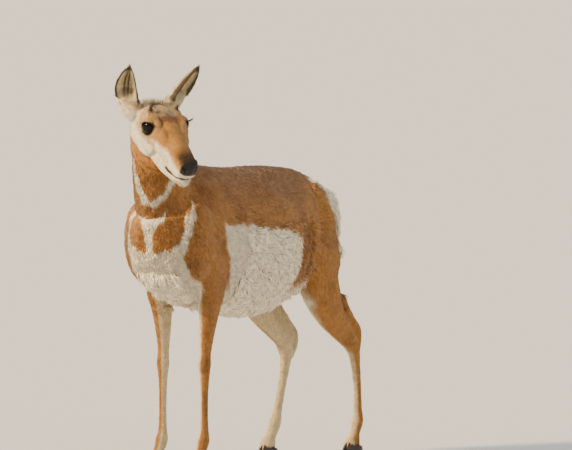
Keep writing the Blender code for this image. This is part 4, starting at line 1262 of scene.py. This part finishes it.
# The outer coat is hollow guard hair, dry and matt with a faint sheen at grazing angles, and bleached unevenly
# by the sun in patches about 14 mm across.
LOCKS = 70.0  # to a metre
coat_hair, tree, shader = new_material("hollow_guard_hair")
hair_colour = add(tree, "ShaderNodeAttribute", {"attribute_name": "coat_colour"})
place = add(tree, "ShaderNodeTexCoord")
locks = add(tree, "ShaderNodeTexNoise", values={"Scale": LOCKS, "Detail": 3.0},
            links={"Vector": place.outputs["Object"]})
weathered = add(tree, "ShaderNodeMapRange", links={"Value": locks.outputs["Fac"]},
                values={"From Min": 0.3, "From Max": 0.7, "To Min": 0.80, "To Max": 1.12})
tone = add(tree, "ShaderNodeMix", {"data_type": "RGBA", "blend_type": "MULTIPLY"}, {"Factor": 1.0},
           {"A": hair_colour.outputs["Color"], "B": weathered.outputs["Result"]})
tree.links.new(tone.outputs["Result"], shader.inputs["Base Color"])
shader.inputs["Roughness"].default_value = 0.72
shader.inputs["Specular IOR Level"].default_value = 0.25
shader.inputs["Sheen Weight"].default_value = 0.12
shader.inputs["Sheen Roughness"].default_value = 0.5

corner_points = hide_points[hide_faces]
face_middles = corner_points.mean(axis=1)
face_areas = np.linalg.norm(np.cross(corner_points[:, 1] - corner_points[:, 0],
                                     corner_points[:, 2] - corner_points[:, 0]), axis=1) / 2
face_x, face_y, face_z = face_middles.T
above_throat = head_share(face_middles) > 0.5
ear_faces = {side: above_throat & (ear_share(face_middles, side) > 0.5) for side in (1, -1)}
on_leg = (face_z < 0.47) & ((face_y < -0.13) | ((face_y > 0.22) & (np.abs(face_x) > 0.040)))
on_neck = ~above_throat & (face_y < -0.18) & (face_z > 0.74)
on_chest = ~above_throat & ~on_neck & ~on_leg & (face_y < -0.14)
on_rump = ~on_leg & (face_y >= 0.22)
on_barrel = ~(above_throat | on_neck | on_chest | on_leg | on_rump)
long_faces = core_depth(face_x, face_y, face_z) > LONG_COAT * 0.45
LEGS = {("fore", 1): FORELEG, ("fore", -1): FORELEG, ("hind", 1): HIND_LEFT, ("hind", -1): HIND_RIGHT}
SIDES = {1: "left", -1: "right"}


def between_lips(points):
    """Where the mouth's line is, which no hair crosses."""
    along, left, up = head_places(points)
    return (np.abs(up - mouth_height(along)) < 0.0022) & (along > 0.190) & (points[:, 2] > HEAD_FLOOR)


def grow(name, picked, places, per_cm2, length, width, curl, seed, long=False):
    """Roots tufts evenly on the picked faces of the hide and gives each its size, lie and colour."""
    draw = np.random.default_rng(seed)
    faces = np.flatnonzero(picked)
    heaped = np.cumsum(face_areas[faces])
    count = int(heaped[-1] * per_cm2 * 1e4)
    steps = (np.arange(count) + draw.uniform(0, 1, count)) / count * heaped[-1]
    chosen = faces[np.minimum(np.searchsorted(heaped, steps), len(faces) - 1)]
    u, v = draw.uniform(0, 1, (2, count))
    folded = u + v > 1
    u, v = np.where(folded, 1 - u, u), np.where(folded, 1 - v, v)
    shares = np.stack([1 - u - v, u, v], axis=1)
    roots = np.einsum("ij,ijk->ik", shares, hide_points[hide_faces[chosen]])
    normals = unit(np.einsum("ij,ijk->ik", shares, hide_ways[hide_faces[chosen]]))
    haired = (bareness(roots) < 0.4) & ~between_lips(roots)
    roots, normals = roots[haired], normals[haired]
    count = len(roots)
    ways = lie(roots, normals)
    swirl = curl * (1.3 * wander(roots, 0.045, seed + 1) + 0.4 * draw.normal(size=count))
    ways = ways * np.cos(swirl)[:, None] + np.cross(normals, ways) * np.sin(swirl)[:, None]
    clump = 0.5 + 0.5 * wander(roots, 0.022, seed + 2)
    deep = np.where(head_share(roots) > 0.5, HEAD_COAT, coat_depth(roots))
    height = deep * (0.50 + 0.35 * clump + 0.30 * draw.uniform(0, 1, count))
    reach = length * draw.uniform(0.75, 1.15, count)
    wide = width * draw.uniform(0.75, 1.25, count)
    sizes = (reach, wide, height, curl * draw.normal(size=count) * 0.35)
    colours = coat_colours(roots + ways * (reach * 0.5)[:, None], normals)
    tufts(name, coat_hair, roots, normals, ways, sizes, colours, unwrap(*places(roots)), seed + 3, long)


# Each piece of coat: its faces and unwrap, tufts to the square centimetre, their length and width, and curl.
grow("coat_head", above_throat & ~ear_faces[1] & ~ear_faces[-1], head_round,
     34, 0.0085, 0.0014, 0.14, 10)
for side in (1, -1):
    grow("coat_ear_" + SIDES[side], ear_faces[side], ear_round(side),
         30, 0.0095, 0.0013, 0.16, 20 + side)
for side in (1, -1):
    s, across, through = on_ear(face_middles, side)
    base = above_throat & (s > -0.16) & (s < 0.24) & (np.abs(across) < 1.5) & (np.abs(through) < 1.6)
    grow("ear_root_" + SIDES[side], base, head_round, 16, 0.0170, 0.0017, 0.20, 26 + side)
grow("coat_neck", on_neck & ~long_faces, neck_round, 18, 0.021, 0.0023, 0.16, 30)
grow("mane", on_neck & long_faces, neck_round, 12, 0.058, 0.0034, 0.20, 34, long=True)
grow("coat_chest", on_chest & ~long_faces, trunk_places, 14, 0.020, 0.0024, 0.18, 40)
grow("brisket", on_chest & long_faces, trunk_places, 10, 0.036, 0.0034, 0.55, 44, long=True)
grow("coat_rump", on_rump & ~long_faces, trunk_places, 12, 0.023, 0.0025, 0.16, 50)
grow("rump_patch", on_rump & long_faces, trunk_places, 12, 0.050, 0.0036, 0.22, 54, long=True)
for side in (1, -1):
    this_side = face_x * side > 0
    grow("coat_barrel_" + SIDES[side], on_barrel & this_side & ~long_faces, trunk_places,
         12, 0.026, 0.0026, 0.20, 60 + side)
    grow("flank_" + SIDES[side], on_barrel & this_side & long_faces, trunk_places,
         9, 0.040, 0.0038, 0.50, 70 + side, long=True)
for number, ((pair, side), rows) in enumerate(LEGS.items()):
    picked = on_leg & (face_x * side > 0) & ((face_y < 0) if pair == "fore" else (face_y > 0))
    grow("coat_" + pair + "_leg_" + SIDES[side], picked, path_places(rows),
         18, 0.0110, 0.0018, 0.10, 80 + number)

# Each eye is a large dark globe set well out at the side of the skull. Its iris is so deep a brown that it
# reads black, under a clear wet cornea that keeps a small bright glint.
IRIS = "1A0E08"
PUPIL = "040303"
IRIS_FLECKS = 90.0  # to a metre, one about every 11 mm

eye_material, tree, shader = new_material("dark_wet_cornea")
place = add(tree, "ShaderNodeTexCoord")
depths = add(tree, "ShaderNodeTexNoise", values={"Scale": IRIS_FLECKS, "Detail": 2.0},
             links={"Vector": place.outputs["Object"]})
iris = add(tree, "ShaderNodeValToRGB", links={"Fac": depths.outputs["Fac"]})
iris.color_ramp.elements[0].color = linear(PUPIL)
iris.color_ramp.elements[0].position = 0.38
iris.color_ramp.elements[1].color = linear(IRIS)
iris.color_ramp.elements[1].position = 0.72
tree.links.new(iris.outputs["Color"], shader.inputs["Base Color"])
shader.inputs["Roughness"].default_value = 0.05
shader.inputs["IOR"].default_value = 1.38
shader.inputs["Specular IOR Level"].default_value = 0.22
shader.inputs["Coat Weight"].default_value = 0.08
shader.inputs["Coat Roughness"].default_value = 0.02
for side in (1, -1):
    eye = mesh_object("globe_" + SIDES[side], eyeball(side, EYE_RADIUS, 64), eye_material)
    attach(eye, "root")
    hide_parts("eye_" + SIDES[side])

# Long stiff lashes stand out from the edge of each upper lid, with shorter ones below. They are coarse black
# hairs, tapered to a point, that show as a dark fringe with a low gleam along the shaft.
LASHES = 44
UPPER_LASHES = 29
LASH_COLOUR = "0D0907"
LASH_SCALES = 900.0  # to a metre, one every 1.1 mm, coarser than real so that they show


def lash_roots(side):
    """Places round the opening of an eye, where its edge meets the globe, and the way out from its middle."""
    middle, gaze, along, up = lid_frame(side)
    for k in range(LASHES):
        if k < UPPER_LASHES:
            angle = math.radians(8 + 164 * k / (LASHES - 1))
        else:
            angle = math.radians(200 + 140 * (k - UPPER_LASHES) / (LASHES - UPPER_LASHES - 1))
        height = LID_HEIGHT / 2 * (1 - LID_TAPER * math.cos(angle) ** 2)
        rim = along * (LID_LENGTH / 2 * math.cos(angle)) + up * (height * math.sin(angle))
        stand = math.sqrt(max(0.0, (EYE_RADIUS + 0.0012) ** 2 - rim.length ** 2))
        outward = (rim.normalized() * (0.75 if math.sin(angle) > 0 else 0.55) + gaze * 0.75).normalized()
        yield middle + rim + gaze * stand, gaze, outward, math.sin(angle) > 0


lash_hair, tree, shader = new_material("stiff_black_lash")
shader.inputs["Base Color"].default_value = linear(LASH_COLOUR)
shader.inputs["Roughness"].default_value = 0.45
place = add(tree, "ShaderNodeTexCoord")
grain = add(tree, "ShaderNodeTexNoise", values={"Scale": LASH_SCALES},
            links={"Vector": place.outputs["Object"]})
relief = add(tree, "ShaderNodeBump", values={"Strength": 0.3, "Distance": 0.0002},
             links={"Height": grain.outputs["Fac"]})
tree.links.new(relief.outputs["Normal"], shader.inputs["Normal"])
for side in (1, -1):
    draw = np.random.default_rng(95 + side)
    rows = list(lash_roots(side))
    roots = np.array([row[0] for row in rows])
    outward = unit(np.array([row[2] for row in rows]) + draw.normal(size=(LASHES, 3)) * 0.06)
    upper = np.array([row[3] for row in rows])
    gazes = np.array([row[1] for row in rows])
    normals = unit(gazes - outward * np.sum(gazes * outward, axis=1)[:, None])
    reach = np.where(upper, 0.019, 0.009) * draw.uniform(0.8, 1.15, LASHES)
    sizes = (reach, np.full(LASHES, 0.0011), np.full(LASHES, 0.0010), draw.normal(size=LASHES) * 0.05)
    colours = np.tile(np.array(linear(BLACK)[:3]), (LASHES, 1))
    tufts("lashes_" + SIDES[side], lash_hair, roots, normals, outward, sizes, colours,
          unwrap(*head_round(roots)), 97 + side, long=True)

# A doe's horns are small nubs, half hidden in the forehead's hair. Their sheath is black keratin in fine
# uneven ridges about 3 mm apart, which break up its waxy gleam.
HORN_DARK = "0B0806"
HORN_RIDGE = "2C1E15"
HORN_RIDGES = 110.0  # scale of the wave that puts a ridge every 2.9 mm
horn_material, tree, shader = new_material("ridged_horn_keratin")
place = add(tree, "ShaderNodeTexCoord")
rings = add(tree, "ShaderNodeTexWave", {"bands_direction": "Z"},
            {"Scale": HORN_RIDGES, "Distortion": 3.0, "Detail": 3.0},
            {"Vector": place.outputs["Object"]})
keratin = add(tree, "ShaderNodeValToRGB", links={"Fac": rings.outputs["Fac"]})
keratin.color_ramp.elements[0].color = linear(HORN_DARK)
keratin.color_ramp.elements[1].color = linear(HORN_RIDGE)
relief = add(tree, "ShaderNodeBump", values={"Strength": 0.6, "Distance": 0.0006},
             links={"Height": rings.outputs["Fac"]})
tree.links.new(keratin.outputs["Color"], shader.inputs["Base Color"])
tree.links.new(relief.outputs["Normal"], shader.inputs["Normal"])
shader.inputs["Roughness"].default_value = 0.42
for side in (1, -1):
    for held in frame["nodes"]["horn_" + SIDES[side]].material_slots:
        held.material = horn_material

# The hooves are cloven, two claws to a foot. Their walls are black keratin that grows down in faint rings,
# and the ground scuffs the lowest stretch pale.
HOOF_WALL = "15100D"
HOOF_RING = "35291F"
HOOF_SCUFF = "6E5E4A"
HOOF_RINGS = 70.0  # scale of the wave that puts a ring every 4.5 mm
SCUFF_HEIGHT = 0.014
hoof_material, tree, shader = new_material("worn_hoof_keratin")
place = add(tree, "ShaderNodeTexCoord")
rings = add(tree, "ShaderNodeTexWave", {"bands_direction": "Z"},
            {"Scale": HOOF_RINGS, "Distortion": 2.0, "Detail": 2.0},
            {"Vector": place.outputs["Object"]})
height = add(tree, "ShaderNodeSeparateXYZ", links={"Vector": place.outputs["Object"]})
scuff = add(tree, "ShaderNodeMapRange", links={"Value": height.outputs["Z"]},
            values={"From Min": 0.0, "From Max": SCUFF_HEIGHT, "To Min": 1.0, "To Max": 0.0})
wall = add(tree, "ShaderNodeValToRGB", links={"Fac": rings.outputs["Fac"]})
wall.color_ramp.elements[0].color = linear(HOOF_WALL)
wall.color_ramp.elements[1].color = linear(HOOF_RING)
worn = add(tree, "ShaderNodeMix", {"data_type": "RGBA"}, {"B": linear(HOOF_SCUFF)},
           {"Factor": scuff.outputs["Result"], "A": wall.outputs["Color"]})
relief = add(tree, "ShaderNodeBump", values={"Strength": 0.5, "Distance": 0.0006},
             links={"Height": rings.outputs["Fac"]})
tree.links.new(worn.outputs["Result"], shader.inputs["Base Color"])
tree.links.new(relief.outputs["Normal"], shader.inputs["Normal"])
shader.inputs["Roughness"].default_value = 0.48
for name, node in frame["nodes"].items():
    if "claw" in name:
        for held in node.material_slots:
            held.material = hoof_material

# Pale wispy hairs stand up behind the dark line of the crown and between the ears. They are guard hair like
# the coat's, rooted in the hide, but raised instead of laid back.
CROWN_WISPS = 190
draw = np.random.default_rng(120)
picked = above_throat & ~ear_faces[1] & ~ear_faces[-1]
along, left, up = head_places(face_middles)
picked &= (along < 0.020) & (along > -0.022) & (np.abs(left) < 0.040) & (up > -0.055)
chosen = draw.choice(np.flatnonzero(picked), CROWN_WISPS)
roots = face_middles[chosen]
normals = unit(hide_ways[hide_faces[chosen]].mean(axis=1))
ways = unit(lie(roots, normals) + normals * 0.8 + draw.normal(size=roots.shape) * 0.22)
across = unit(np.cross(normals, ways))
sizes = (draw.uniform(0.014, 0.030, CROWN_WISPS), np.full(CROWN_WISPS, 0.0011),
         np.full(CROWN_WISPS, 0.0012), draw.normal(size=CROWN_WISPS) * 0.10)
tones = painted(coat_colours(roots, normals), CREAM, np.full(CROWN_WISPS, 0.5))
tufts("crown_wisps", coat_hair, roots, np.cross(ways, across), ways, sizes, tones,
      unwrap(*head_round(roots)), 121, long=True)
